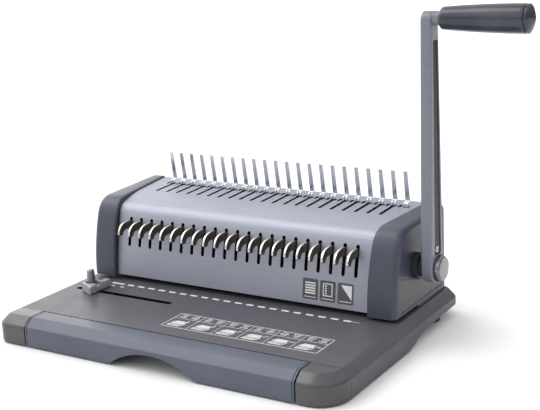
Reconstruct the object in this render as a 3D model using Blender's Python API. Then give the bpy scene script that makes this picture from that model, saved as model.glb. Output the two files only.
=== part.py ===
"""Comb binding machine: a manual punch and plastic-comb opener on a base with a chip drawer.

Sizes are in millimetres and turned into metres when a mesh becomes an object.  Machine axes:
X runs along the row of pins to the lever side, Y runs to the back and Z up.  X = 0 is the middle
of the row, Y = 0 the front edge of the base plate and Z = 0 the lower edge of the drawer front.
"""
import math

import bmesh
import bpy
from mathutils import Vector

MM = 0.001
GAP = 0.3                      # clearance between neighbouring pieces
X_AXIS, Y_AXIS, Z_AXIS = 0, 1, 2

# Comb pitch, the size that everything else follows
PITCH = 25.4 * 9 / 16
HOLES = 21
HOLE_X = [(i - (HOLES - 1) / 2) * PITCH for i in range(HOLES)]
FINGER_X = [HOLE_X[0] + j * PITCH for j in range(HOLES + 1)]

# Base
BASE_HALF = 201.6
BASE_BACK = 251.4
BASE_TOP = 27.75
BEVEL_Z = 18.4
BEVEL_IN = 8.4
BASE_WALL = 2.0
PLATE_T = 1.75
REAR_CORNER_R = 16.0
RISE_FRONT, RISE_BACK, RISE_Z = 118.0, 165.0, 9.5
FOOT_BOTTOM = -2.0
FOOT_R = 9.0
FOOT_X = 184.0
FOOT_Y = {"front": 22.0, "rear": 214.0}

# Drawer and corner blocks
FRONT_Y = -30.9
FRONT_FACE_TOP = 20.1
FRONT_CHAMFER_Y = -20.0
DRAWER_HALF = 160.8
CORNER_PLAY = 0.7              # between the drawer front and a corner block
ARCH_HALF, ARCH_H = 50.5, 16.6
CORNER_R = {"right": 30.0, "left": 14.0}
TRAY_HALF = 154.0
TRAY_WALL = 1.6
TRAY_BOTTOM, TRAY_TOP = 3.0, 20.0
TRAY_FRONT, TRAY_SLOPE, TRAY_BACK = -26.0, 118.0, 160.0
TRAY_REAR_BOTTOM = 12.3
RECESS_HALF, RECESS_BACK = 54.0, 14.0
FRONT_WALL = 2.6
DRAWER_SCREW_X, DRAWER_SCREW_Z = 110.0, 12.0

# Punch line, shaft and lever
THROAT_TOP = 31.3
THROAT_BACK = 168.0
PUNCH_Y = 158.0
PUNCH_W, PUNCH_T = 8.0, 3.0
DIE_PLAY = 0.6                 # how much wider the holes are than the punches
THROAT_SLOT = ((-166.0, 150.0), (166.0, 166.0))
PUNCH_TIP = 31.8
GUIDE_TOP = 34.6
BAR_BOTTOM, BAR_TOP = 46.0, 59.0
BAR_HALF_X, BAR_HALF_Y = 162.0, 7.0
GUIDE_PIN_X, GUIDE_PIN_R = 155.0, 3.0
PUNCH_STROKE = 7.0
PIVOT_Y, PIVOT_Z = 166.0, 73.5
SHAFT_R = 7.0
LEVER_TRAVEL = math.radians(85.0)
SIDE_IN, SIDE_OUT = 170.0, 172.6
CAM_X, CAM_T = 116.0, 8.0
SCROLL_X, SCROLL_T, SCROLL_R = 163.6, 4.4, 38.5
TIE_CENTRE, TIE_R = (212.0, 66.0), 5.0
LEVER_IN, LEVER_OUT = 202.8, 214.0
LEVER_TOP_R, LEVER_HUB_R = 8.5, 15.3
GRIP_Y, GRIP_Z = 162.3, 318.3
GRIP_START, GRIP_END, DOME_END = 221.0, 303.2, 311.0
GRIP_R_IN, GRIP_R_OUT = 10.6, 13.6

# Hooks: they slide down along the front slots
HOOK_T = 2.4
HOOK_ROOT, HOOK_TIP = 4.9, 2.7  # half heights
HOOK_TRAVEL = 18.5
HOOK_DIR = Vector((0.0, -0.2331, -0.9724))
HOOK_PIN = (170.3, 107.5)      # Y and Z of the follower pins at rest
PIN_R, PIN_SLOT = 2.5, 2.9
HOOK_SPREAD = 162.0            # half the length of the carriage, and the outer face of its arms

# Cover and end caps
CAP_OUT = 190.0
CAP_BACK = 241.0
CAP_WALL = 2.5
CAP_EDGE_R = 6.5
SEAM_FRONT_Y, SEAM_FRONT_X, SEAM_SLOPE = 117.0, 158.5, 0.108
SHEET = 1.2
COVER_LOW = 33.4
SLOT_LOW, SLOT_HIGH = 66.3, 96.5
SLOT_W, KEYHOLE_R = 3.9, 2.1
REAR_SCREW_X, REAR_SCREW_Z = (-150.0, 150.0), (42.0, 104.0)
TOP_SLOT_Y = (181.0, 212.5)
TOP_SLOT_W = 3.0
SHORT_SLOT_Y = (211.5, 219.5)  # between the fingers, half a pitch to the left of each
SHORT_SLOT_W = 2.4

# Fingers: up through the cover, a step to the back, then upright with a lean to the front
FINGER_ROOT_Y, FINGER_Y = 213.6, 218.5
FINGER_STEP_Z, FINGER_TOP = 123.8, 156.5
FINGER_W, FINGER_T = 5.2, 1.2
FINGER_LEAN = 0.15
COMB_STRIP_Z = (96.0, 112.0)

# Edge guide
GUIDE_SLOT = (-180.5, -50.5)
GUIDE_SLOT_W = 5.0
GUIDE_Y = 75.0
GUIDE_X = -159.5

# The world origin: under the middle of the whole machine, on the surface it stands on
DATUM = Vector(((BASE_HALF - DOME_END) / 2, -(BASE_BACK + FRONT_Y) / 2, -FOOT_BOTTOM))


def clear_scene():
    for obj in list(bpy.data.objects):
        bpy.data.objects.remove(obj, do_unlink=True)


def material(name, colour, roughness, metallic=0.0):
    mat = bpy.data.materials.new(name)
    mat.use_nodes = True
    shader = mat.node_tree.nodes["Principled BSDF"]
    shader.inputs["Base Color"].default_value = (*colour, 1.0)
    shader.inputs["Roughness"].default_value = roughness
    shader.inputs["Metallic"].default_value = metallic
    return mat


def add_object(name, bm, mat, origin=(0.0, 0.0, 0.0)):
    """Make an object from a mesh in machine millimetres, with its origin at the given place."""
    bmesh.ops.recalc_face_normals(bm, faces=bm.faces)
    start = Vector(origin)
    for vert in bm.verts:
        vert.co = (vert.co - start) * MM
    mesh = bpy.data.meshes.new(name)
    bm.to_mesh(mesh)
    bm.free()
    obj = bpy.data.objects.new(name, mesh)
    obj.location = start * MM
    bpy.context.scene.collection.objects.link(obj)
    obj.parent = bpy.data.objects["machine_datum"]
    if mat is not None:
        mesh.materials.append(mat)
        mesh.shade_smooth()
        mesh.set_sharp_from_angle(angle=math.radians(32))
    return obj


def boolean(obj, bm, operation, name):
    """Cut a helper mesh out of an object, or weld it on; the helper itself is hidden."""
    helper = add_object(name, bm, None)
    helper.hide_render = True
    helper.display_type = "WIRE"
    modifier = obj.modifiers.new(name, "BOOLEAN")
    modifier.operation = operation
    modifier.solver = "EXACT"
    modifier.object = helper
    return helper


def cut(obj, bm, name):
    return boolean(obj, bm, "DIFFERENCE", "cutter_" + name)


def weld(obj, bm, name):
    return boolean(obj, bm, "UNION", "weld_" + name)


def loft(rings, bm=None):
    """A closed solid through rings that all have the same number of points."""
    bm = bm or bmesh.new()
    rows = [[bm.verts.new(point) for point in ring] for ring in rings]
    for low, high in zip(rows, rows[1:]):
        for i in range(len(low)):
            j = (i + 1) % len(low)
            bm.faces.new((low[i], low[j], high[j], high[i]))
    bm.faces.new(list(reversed(rows[0])))
    bm.faces.new(rows[-1])
    return bm


def lift(point, axis, height):
    """Put a 2-D point on the plane across an axis, at a height along it."""
    coords = list(point)
    coords.insert(axis, height)
    return tuple(coords)


def prism(outline, axis, low, high, bm=None):
    return loft([[lift(p, axis, h) for p in outline] for h in (low, high)], bm)


def box(low, high, bm=None):
    outline = [(low[0], low[1]), (high[0], low[1]), (high[0], high[1]), (low[0], high[1])]
    return prism(outline, Z_AXIS, low[2], high[2], bm)


def arc(centre, radius, start, end, steps):
    """Points on an arc; angles in degrees."""
    angles = [math.radians(start + (end - start) * i / steps) for i in range(steps + 1)]
    return [(centre[0] + radius * math.cos(a), centre[1] + radius * math.sin(a)) for a in angles]


def curve(start, control, end, steps):
    """Points on a quadratic curve, without its first point."""
    points = []
    for i in range(1, steps + 1):
        t = i / steps
        points.append(tuple((1 - t) ** 2 * a + 2 * t * (1 - t) * b + t * t * c
                            for a, b, c in zip(start, control, end)))
    return points


def turned(profile, axis, centre, segments=24, bm=None):
    """A turned solid from (place along the axis, radius) pairs; an end at radius 0 is a point."""
    bm = bm or bmesh.new()
    rows = []
    for height, radius in profile:
        if radius == 0.0:
            rows.append([bm.verts.new(lift(centre, axis, height))])
            continue
        ring = arc(centre, radius, 0.0, 360.0 * (segments - 1) / segments, segments - 1)
        rows.append([bm.verts.new(lift(p, axis, height)) for p in ring])
    for low, high in zip(rows, rows[1:]):
        for i in range(segments):
            j = (i + 1) % segments
            corners = [low[i % len(low)], low[j % len(low)], high[j % len(high)], high[i % len(high)]]
            bm.faces.new(list(dict.fromkeys(corners)))
    for row in (rows[0], rows[-1]):
        if len(row) > 1:
            bm.faces.new(row)
    return bm


def turned_ring(profile, axis, centre, segments=24):
    """A turned solid with a bore: the profile is a closed loop of (place, radius) pairs."""
    bm = bmesh.new()
    rows = []
    for height, radius in profile:
        ring = arc(centre, radius, 0.0, 360.0 * (segments - 1) / segments, segments - 1)
        rows.append([bm.verts.new(lift(p, axis, height)) for p in ring])
    for low, high in zip(rows, rows[1:] + rows[:1]):
        for i in range(segments):
            j = (i + 1) % segments
            bm.faces.new((low[i], low[j], high[j], high[i]))
    return bm


def mirror_x(bm):
    for vert in bm.verts:
        vert.co.x = -vert.co.x
    return bm


def each_side(build):
    """Run a builder for the right side and for the left one, which is its mirror image."""
    for side, flip in (("right", lambda bm: bm), ("left", mirror_x)):
        build(side, flip)


# ---------------------------------------------------------------- base

def base_plan(inset, front):
    """Outline of the base seen from above, open side to the front, with round rear corners."""
    half, back = BASE_HALF - inset, BASE_BACK - inset
    radius = REAR_CORNER_R - inset if inset < REAR_CORNER_R else 1.0
    right = arc((half - radius, back - radius), radius, 0, 90, 5)
    left = arc((radius - half, back - radius), radius, 90, 180, 5)
    return [(half, front)] + right + left + [(-half, front)]


def underside():
    """Height of the lower edge of the base: it rises towards the back in one soft bend."""
    steps = 8
    points = []
    for i in range(steps + 1):
        t = i / steps
        rise = RISE_Z * t * t * (3 - 2 * t)
        points.append((RISE_FRONT + (RISE_BACK - RISE_FRONT) * t, rise))
    return points + [(BASE_BACK + 5, RISE_Z + 1.0)]


def build_base_shell(mat):
    rings = [(0.0, 0.0), (BEVEL_Z, 0.0), (BASE_TOP, BEVEL_IN)]
    outer = [[(x, y, z) for x, y in base_plan(inset, 0.0)] for z, inset in rings]
    shell = add_object("base_shell", loft(outer), mat)
    hollow = [(-1.0, BASE_WALL), (BEVEL_Z - 0.8, BASE_WALL), (BASE_TOP - PLATE_T, BASE_WALL + BEVEL_IN - 1.4)]
    inner = [[(x, y, z) for x, y in base_plan(inset, -1.0)] for z, inset in hollow]
    cut(shell, loft(inner), "base_hollow")
    below = underside() + [(BASE_BACK + 5, -5.0), (RISE_FRONT, -5.0)]
    cut(shell, prism(below, X_AXIS, -BASE_HALF - 5, BASE_HALF + 5), "base_underside")
    openings = box((*THROAT_SLOT[0], 20.0), (*THROAT_SLOT[1], 32.0))
    half_slot = GUIDE_SLOT_W / 2
    slot = (arc((GUIDE_SLOT[1] - half_slot, GUIDE_Y), half_slot, -90, 90, 6)
            + arc((GUIDE_SLOT[0] + half_slot, GUIDE_Y), half_slot, 90, 270, 6))
    prism(slot, Z_AXIS, 20.0, 32.0, openings)
    cut(shell, openings, "base_openings")
    return shell


def build_bottom_plate(mat):
    thick = 1.2
    low = [(3.0, 1.0), (RISE_FRONT + 2, 1.0), (RISE_BACK, RISE_Z + 1.2), (234.0, RISE_Z + 1.7)]
    high = [(y, z + thick) for y, z in reversed(low)]
    plate = add_object("bottom_plate", prism(low + high, X_AXIS, -198.8, 198.8), mat)
    notch = box((-RECESS_HALF - 4, 0.0, -1.0), (RECESS_HALF + 4, RECESS_BACK + 4, 5.0))
    cut(plate, notch, "bottom_notch")


def build_feet(mat):
    for place, y in FOOT_Y.items():
        top = 0.7 if place == "front" else RISE_Z + 1.2
        for side, x in (("left", -FOOT_X), ("right", FOOT_X)):
            profile = [(FOOT_BOTTOM, FOOT_R - 1.0), (FOOT_BOTTOM + 1.0, FOOT_R), (top, FOOT_R)]
            foot = turned(profile, Z_AXIS, (x, y), 20)
            add_object("foot_%s_%s" % (place, side), foot, mat, (x, y, FOOT_BOTTOM))


def corner_ring(z, front_in, side_in, radius, wall=0.0):
    """Outline of a corner block at one height, or of its hollow, which is open to the back."""
    centre_x, centre_y = BASE_HALF - radius, FRONT_Y + radius
    rx, ry = radius - side_in - wall, radius - front_in - wall
    quarter = [(centre_x + rx * math.cos(a), centre_y + ry * math.sin(a))
               for a in (math.radians(-90 + 90 * i / 8) for i in range(9))]
    inner_x = DRAWER_HALF + CORNER_PLAY + wall
    back = -GAP if wall == 0.0 else 1.0
    plan = [(inner_x, centre_y - ry)] + quarter + [(centre_x + rx, back), (inner_x, back)]
    return [(x, y, z) for x, y in plan]


def build_corner_block(mat):
    def build(side, flip):
        chamfer, radius = FRONT_CHAMFER_Y - FRONT_Y, CORNER_R[side]
        outer = [corner_ring(0.0, 0, 0, radius), corner_ring(BEVEL_Z + 0.8, 0, 0, radius),
                 corner_ring(BASE_TOP, chamfer, BEVEL_IN, radius)]
        block = add_object("corner_block_" + side, flip(loft(outer)), mat)
        inner = [corner_ring(-1.0, 0, 0, radius, 2.4), corner_ring(BEVEL_Z, 0, 0, radius, 2.4),
                 corner_ring(BASE_TOP - 2.4, chamfer, BEVEL_IN, radius, 2.0)]
        cut(block, flip(loft(inner)), "corner_" + side)
    each_side(build)


# ---------------------------------------------------------------- drawer

def tray_profile(inset, top):
    return [(TRAY_FRONT + inset, TRAY_BOTTOM + inset), (TRAY_SLOPE, TRAY_BOTTOM + inset),
            (TRAY_BACK - inset, TRAY_REAR_BOTTOM + inset), (TRAY_BACK - inset, top),
            (TRAY_FRONT + inset, top)]


def build_drawer(tray_mat, front_mat):
    half, wall = TRAY_HALF, TRAY_WALL
    tray = add_object("chip_drawer", prism(tray_profile(0.0, TRAY_TOP), X_AXIS, -half, half), tray_mat)
    inner = prism(tray_profile(wall, TRAY_TOP + 1), X_AXIS, wall - half, half - wall)
    hollow = cut(tray, inner, "tray_hollow")
    island = box((-RECESS_HALF - wall, -40, 0), (RECESS_HALF + wall, RECESS_BACK + wall, 30))
    boolean(hollow, island, "DIFFERENCE", "cutter_tray_island")
    recess = box((-RECESS_HALF, -40, 0), (RECESS_HALF, RECESS_BACK, 30))
    cut(tray, recess, "finger_recess")

    wall = FRONT_WALL
    outline = [(FRONT_Y, 0.0), (FRONT_Y, FRONT_FACE_TOP), (FRONT_CHAMFER_Y, BASE_TOP + 0.15),
               (-0.6, BASE_TOP + 0.15), (-0.6, BASE_TOP - wall),
               (FRONT_CHAMFER_Y + 1.0, BASE_TOP - wall), (FRONT_Y + wall, FRONT_FACE_TOP - 1.2),
               (FRONT_Y + wall, 0.0)]
    front = add_object("drawer_front", prism(outline, X_AXIS, -DRAWER_HALF, DRAWER_HALF), front_mat)
    radius = (ARCH_HALF ** 2 + ARCH_H ** 2) / (2 * ARCH_H)
    arch = turned([(-40.0, radius), (-20.0, radius)], Y_AXIS, (0.0, ARCH_H - radius), 72)
    cut(front, arch, "finger_arch")


def build_drawer_screws(mat):
    for side, x in (("left", -DRAWER_SCREW_X), ("right", DRAWER_SCREW_X)):
        profile = [(TRAY_FRONT + TRAY_WALL + GAP, 3.5), (TRAY_FRONT + TRAY_WALL + 2.2, 2.6)]
        add_object("drawer_screw_" + side, turned(profile, Y_AXIS, (x, DRAWER_SCREW_Z), 16), mat)


# ---------------------------------------------------------------- punch

def hole_blocks(width, depth, y, low, high):
    bm = bmesh.new()
    for x in HOLE_X:
        box((x - width / 2, y - depth / 2, low), (x + width / 2, y + depth / 2, high), bm)
    return bm


def build_die_and_guide(mat):
    (left, front), (right, back) = THROAT_SLOT
    die = box((left + GAP, front + GAP, 21.0), (right - GAP, back - GAP, BASE_TOP - GAP))
    die = add_object("lower_die", die, mat)
    width, depth = PUNCH_W + DIE_PLAY, PUNCH_T + DIE_PLAY
    cut(die, hole_blocks(width, depth, PUNCH_Y, 18.0, 30.0), "die_holes")
    half = SIDE_IN - GAP
    guide = box((-half, 140.0, THROAT_TOP + GAP), (half, 176.0, GUIDE_TOP))
    guide = add_object("punch_guide", guide, mat)
    cut(guide, hole_blocks(width, depth, PUNCH_Y, 28.0, 38.0), "guide_holes")
    stop = box((-half, THROAT_BACK, BASE_TOP + GAP), (half, THROAT_BACK + 5, THROAT_TOP))
    add_object("paper_stop", stop, mat)


def build_punches(mat):
    """Twenty-one punches cut from one strip, like the teeth of a comb."""
    half = (HOLES - 1) / 2 * PITCH + PUNCH_W / 2
    shoulder = BAR_BOTTOM + 1
    outline = [(half, BAR_TOP - 4.3), (-half, BAR_TOP - 4.3)]
    for x in HOLE_X:
        left, right = x - PUNCH_W / 2, x + PUNCH_W / 2
        if x > HOLE_X[0]:
            outline.append((left, shoulder))
        outline += [(left, PUNCH_TIP), (right, PUNCH_TIP)]
        if x < HOLE_X[-1]:
            outline.append((right, shoulder))
    low, high = PUNCH_Y - PUNCH_T / 2, PUNCH_Y + PUNCH_T / 2
    add_object("punch_strip", prism(outline, Y_AXIS, low, high), mat)


def build_pressure_bar(mat):
    groove = PUNCH_T / 2 + GAP
    y, half = PUNCH_Y, BAR_HALF_Y
    outline = [(y - half, BAR_BOTTOM), (y - groove, BAR_BOTTOM), (y - groove, BAR_TOP - 4),
               (y + groove, BAR_TOP - 4), (y + groove, BAR_BOTTOM), (y + half, BAR_BOTTOM),
               (y + half, BAR_TOP), (y - half, BAR_TOP)]
    bar = add_object("pressure_bar", prism(outline, X_AXIS, -BAR_HALF_X, BAR_HALF_X), mat)
    holes = bmesh.new()
    for x in (-GUIDE_PIN_X, GUIDE_PIN_X):
        turned([(30.0, GUIDE_PIN_R + GAP), (90.0, GUIDE_PIN_R + GAP)], Z_AXIS, (x, PUNCH_Y), 20, holes)
    cut(bar, holes, "bar_holes")


def coil(centre, low, high, radius, wire, turns, bm=None):
    """A round-wire compression spring along Z."""
    steps, sides = int(turns * 8), 4
    rings = []
    for i in range(steps + 1):
        angle = 2 * math.pi * turns * i / steps
        z = low + wire + (high - low - 2 * wire) * i / steps
        out = Vector((math.cos(angle), math.sin(angle), 0.0))
        mid = Vector((centre[0], centre[1], z)) + out * radius
        rings.append([mid + (out * math.cos(t) + Vector((0, 0, 1)) * math.sin(t)) * wire
                      for t in (2 * math.pi * k / sides for k in range(sides))])
    return loft(rings, bm)


def build_guide_pins(pin_mat, spring_mat):
    for side, x in (("left", -GUIDE_PIN_X), ("right", GUIDE_PIN_X)):
        profile = [(GUIDE_TOP + GAP, GUIDE_PIN_R), (BAR_TOP + 2, GUIDE_PIN_R), (BAR_TOP + 3, GUIDE_PIN_R - 1)]
        pin = turned(profile, Z_AXIS, (x, PUNCH_Y), 20)
        add_object("guide_pin_" + side, pin, pin_mat)
        spring = coil((x, PUNCH_Y), GUIDE_TOP + GAP, BAR_BOTTOM - GAP, 5.0, 0.5, 3)
        add_object("punch_spring_" + side, spring, spring_mat)


# ---------------------------------------------------------------- frame

def slot_outline(points, half):
    """Outline of a slot with round ends around a centre line."""
    left, right = [], []
    for i, point in enumerate(points):
        before, after = Vector(points[max(i - 1, 0)]), Vector(points[min(i + 1, len(points) - 1)])
        along = (after - before).normalized()
        across = Vector((-along.y, along.x)) * half
        left.append(tuple(Vector(point) + across))
        right.append(tuple(Vector(point) - across))
    ends = []
    for end, inner in ((points[-1], points[-2]), (points[0], points[1])):
        along = Vector(end) - Vector(inner)
        middle = math.degrees(math.atan2(along.y, along.x))
        ends.append(arc(end, half, middle + 90, middle - 90, 6)[1:-1])
    return left + ends[0] + list(reversed(right)) + ends[1]


def hook_pin_path(margin=0.0):
    """Rest and lowest place of the follower pins, as Y and Z."""
    start = Vector(HOOK_PIN)
    along = Vector((HOOK_DIR.y, HOOK_DIR.z))
    return [tuple(start - along * margin), tuple(start + along * (HOOK_TRAVEL + margin))]


def build_side_plates(mat):
    def build(side, flip):
        outline = [(THROAT_BACK, BASE_TOP + GAP), (236.0, BASE_TOP + GAP), (236.0, 114.0), (160.0, 113.0),
                   (140.0, 106.0), (131.0, 92.0), (125.0, THROAT_TOP + GAP), (THROAT_BACK, THROAT_TOP + GAP)]
        plate = add_object("side_plate_" + side, flip(prism(outline, X_AXIS, SIDE_IN, SIDE_OUT)), mat)
        holes = turned([(160.0, 9.7), (180.0, 9.7)], X_AXIS, (PIVOT_Y, PIVOT_Z), 24)
        prism(slot_outline(hook_pin_path(0.5), PIN_SLOT), X_AXIS, 160.0, 180.0, holes)
        cut(plate, flip(holes), "side_holes_" + side)
        bush = [(SIDE_IN - 0.5, SHAFT_R + GAP), (SIDE_IN - 0.5, 9.4), (SIDE_OUT + GAP, 9.4),
                (SIDE_OUT + GAP, 12.5), (SIDE_OUT + 2, 12.5), (SIDE_OUT + 2, SHAFT_R + GAP)]
        ring = turned_ring(bush, X_AXIS, (PIVOT_Y, PIVOT_Z), 24)
        add_object("shaft_bush_" + side, flip(ring), BUSH)
    each_side(build)


def build_tie_bar(mat):
    half = SIDE_IN - GAP
    profile = [(-half, TIE_R), (half, TIE_R)]
    add_object("rear_tie_bar", turned(profile, X_AXIS, TIE_CENTRE, 20), mat)


# ---------------------------------------------------------------- cover and caps

def cover_front_y(z):
    rise = z - 31.2
    return 119.6 + 0.1082 * rise + 0.0013 * rise ** 2


def cover_path(inset):
    """The cover's section from its front lower edge over the top to its rear edge."""
    front = [(cover_front_y(z) + inset, z) for z in (COVER_LOW, 56.0, 80.0, 104.0)]
    start = front[-1]
    shoulder = (146.5, 112.9 - inset)
    nose = curve(start, (138.4 + inset * 0.6, 111.9 - inset * 0.8), shoulder, 4)
    top = curve(shoulder, (165.0, 116.9 - inset), (180.0, 117.4 - inset), 2)
    return front + nose + top + [(236.5, 119.4 - inset)]


def seam_x(y):
    return SEAM_FRONT_X + (y - SEAM_FRONT_Y) * SEAM_SLOPE


def front_slots():
    """Keyhole slots in the cover's front, wider and round at the top."""
    bm = bmesh.new()
    half = SLOT_W / 2
    for x in HOLE_X:
        low = arc((x, SLOT_LOW + half), half, 180, 360, 3)
        high = arc((x, SLOT_HIGH), KEYHOLE_R, -20, 200, 5)
        prism(low + high, Y_AXIS, 112.0, 142.0, bm)
    return bm


def top_slots():
    """A slot ahead of each finger, joined to the finger's own opening, and a short slot beside it."""
    bm = bmesh.new()
    half, wide, short = TOP_SLOT_W / 2, FINGER_W / 2 + 0.5, SHORT_SLOT_W / 2
    front, back = TOP_SLOT_Y[1], FINGER_ROOT_Y + FINGER_T + 1.0
    for x in FINGER_X:
        outline = [(x + wide, front), (x + wide, back), (x - wide, back), (x - wide, front)]
        if x <= HOLE_X[-1]:
            outline += [(x - half, front), (x - half, TOP_SLOT_Y[0]),
                        (x + half, TOP_SLOT_Y[0]), (x + half, front)]
        prism(outline, Z_AXIS, 108.0, 124.0, bm)
        middle = x - PITCH / 2
        box((middle - short, SHORT_SLOT_Y[0], 108.0), (middle + short, SHORT_SLOT_Y[1], 124.0), bm)
    return bm


def build_body_cover(mat):
    ring = cover_path(0.0) + list(reversed(cover_path(SHEET)))
    ends = [[(sign * (seam_x(y) - GAP), y, z) for y, z in ring] for sign in (-1, 1)]
    cover = add_object("body_cover", loft(ends), mat)
    cut(cover, front_slots(), "front_slots")
    cut(cover, top_slots(), "top_slots")


def cap_path(inset, bottom, gap_top):
    """Section of an end cap, inset all round, with the paper gap left open in front."""
    front = []
    for i in range(6):
        z = gap_top + (97.7 - gap_top) * i / 5
        front.append((115.3 + inset + 0.00245 * (z - 31.3) ** 2, z))
    shoulder = (149.4, 118.1 - inset)
    nose = curve(front[-1], (132.5 + inset * 0.5, 117.6 - inset), shoulder, 6)
    back = CAP_BACK - inset
    rear_top = 121.2 - inset
    rear = curve((231.5, rear_top), (back, rear_top), (back, 111.5), 4)
    return front + nose + [(231.5, rear_top)] + rear + [(back, bottom), (THROAT_BACK, bottom),
                                                         (THROAT_BACK, gap_top)]


def build_end_caps(mat, panel_mat):
    def build(side, flip):
        bottom = BASE_TOP + GAP
        rings = []
        path = cap_path(0.0, bottom, THROAT_TOP)
        rings.append([(seam_x(y) + GAP, y, z) for y, z in path])
        for i in range(5):
            angle = math.radians(90 * i / 4)
            inset = CAP_EDGE_R * (1 - math.cos(angle))
            x = CAP_OUT - CAP_EDGE_R + CAP_EDGE_R * math.sin(angle)
            rings.append([(x, y, z) for y, z in cap_path(inset, bottom, THROAT_TOP)])
        cap = add_object("end_cap_" + side, flip(loft(rings)), mat)
        inner = []
        wall, edge = CAP_WALL, CAP_EDGE_R
        for x, inset in ((150.0, wall), (CAP_OUT - edge, wall), (CAP_OUT - wall, edge)):
            inner.append([(x, y, z) for y, z in cap_path(inset, bottom - 3, THROAT_TOP - 6)])
        cut(cap, flip(loft(inner)), "cap_hollow_" + side)
        cut(cap, flip(prism(side_panel_outline(0.0), X_AXIS, CAP_OUT - 6, CAP_OUT + 6)), "cap_window_" + side)
        if side == "right":
            hole = turned([(CAP_OUT - 8, 9.5), (CAP_OUT + 8, 9.5)], X_AXIS, (PIVOT_Y, PIVOT_Z), 24)
            cut(cap, hole, "cap_hole")
        panel = prism(side_panel_outline(GAP), X_AXIS, CAP_OUT - 2.2, CAP_OUT - 0.2)
        add_object("side_panel_" + side, flip(panel), panel_mat)
    each_side(build)


def side_panel_outline(inset):
    """The lower side panel, whose upper edge falls towards the back."""
    return [(129.0 + inset, 34.0 + inset), (129.0 + inset, 69.0 - inset), (150.0, 64.5 - inset),
            (168.0, 58.0 - inset), (228.0 - inset, 58.0 - inset), (228.0 - inset, 34.0 + inset)]


def build_rear_cover(mat):
    low, high = BASE_TOP + GAP, 117.4
    half = seam_x(CAP_BACK) - GAP
    add_object("rear_cover", box((-half, 236.9, low), (half, 239.4, high)), mat)
    index = 0
    for z in REAR_SCREW_Z:
        for x in REAR_SCREW_X:
            index += 1
            profile = [(239.7, 4.0), (241.2, 3.4), (241.6, 2.0)]
            add_object("rear_screw_%d" % index, turned(profile, Y_AXIS, (x, z), 16), SCREW)


def finger_outline():
    """One finger from the side."""
    root, thick, step, top = FINGER_ROOT_Y, FINGER_T, FINGER_STEP_Z, FINGER_TOP
    start = COMB_STRIP_Z[1] - 4.0
    lean = FINGER_LEAN * (top - step)
    return [(root, start), (root + thick, start), (root + thick, step - thick),
            (FINGER_Y + thick, step - thick), (FINGER_Y + thick - lean, top), (FINGER_Y - lean, top),
            (FINGER_Y, step), (root, step)]


def build_comb_plate(mat):
    """Twenty-two bent fingers on one strip under the cover."""
    half = FINGER_W / 2
    low, high = COMB_STRIP_Z
    front, back = FINGER_ROOT_Y, FINGER_ROOT_Y + FINGER_T
    strip = box((FINGER_X[0] - half, front, low), (FINGER_X[-1] + half, back, high))
    plate = add_object("comb_plate", strip, mat)
    fingers = bmesh.new()
    for x in FINGER_X:
        prism(finger_outline(), X_AXIS, x - half, x + half, fingers)
    weld(plate, fingers, "fingers")


# ---------------------------------------------------------------- shaft, cams and hooks

def punch_cam_outline():
    """Cam whose lowest point sinks in proportion to the turn, from its support function."""
    rest = PIVOT_Z - BAR_TOP - GAP
    rate = PUNCH_STROKE / LEVER_TRAVEL
    lead = 0.15
    start, end = -lead, LEVER_TRAVEL + lead
    back = 2 * math.pi - (end - start)
    low, high = rest + rate * start, rest + rate * end
    points = []
    steps = 32
    for i in range(steps):
        turn = start + 2 * math.pi * i / steps
        if turn <= end:
            reach, slope = rest + rate * turn, rate
        else:
            t = (turn - end) / back
            reach = ((2 * t ** 3 - 3 * t ** 2 + 1) * high + (t ** 3 - 2 * t ** 2 + t) * back * rate
                     + (3 * t ** 2 - 2 * t ** 3) * low + (t ** 3 - t ** 2) * back * rate)
            slope = ((6 * t ** 2 - 6 * t) * (high - low) / back
                     + (3 * t ** 2 - 4 * t + 1) * rate + (3 * t ** 2 - 2 * t) * rate)
        facing = Vector((-math.sin(turn), -math.cos(turn)))
        across = Vector((-math.cos(turn), math.sin(turn)))
        points.append(tuple(Vector((PIVOT_Y, PIVOT_Z)) + facing * reach + across * slope))
    return points


def scroll_path():
    """Centre line of the scroll slot: where the follower pin is, seen from the turning disc."""
    pivot = Vector((PIVOT_Y, PIVOT_Z))
    start, finish = (Vector(p) for p in hook_pin_path())
    points = []
    steps, margin = 18, 0.04
    for i in range(steps + 1):
        share = -margin + (1 + 2 * margin) * i / steps
        turn = LEVER_TRAVEL * share
        arm = start.lerp(finish, min(max(share, 0.0), 1.0)) - pivot
        back = Vector((arm.x * math.cos(turn) + arm.y * math.sin(turn),
                       -arm.x * math.sin(turn) + arm.y * math.cos(turn)))
        points.append(tuple(pivot + back))
    return points


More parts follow.
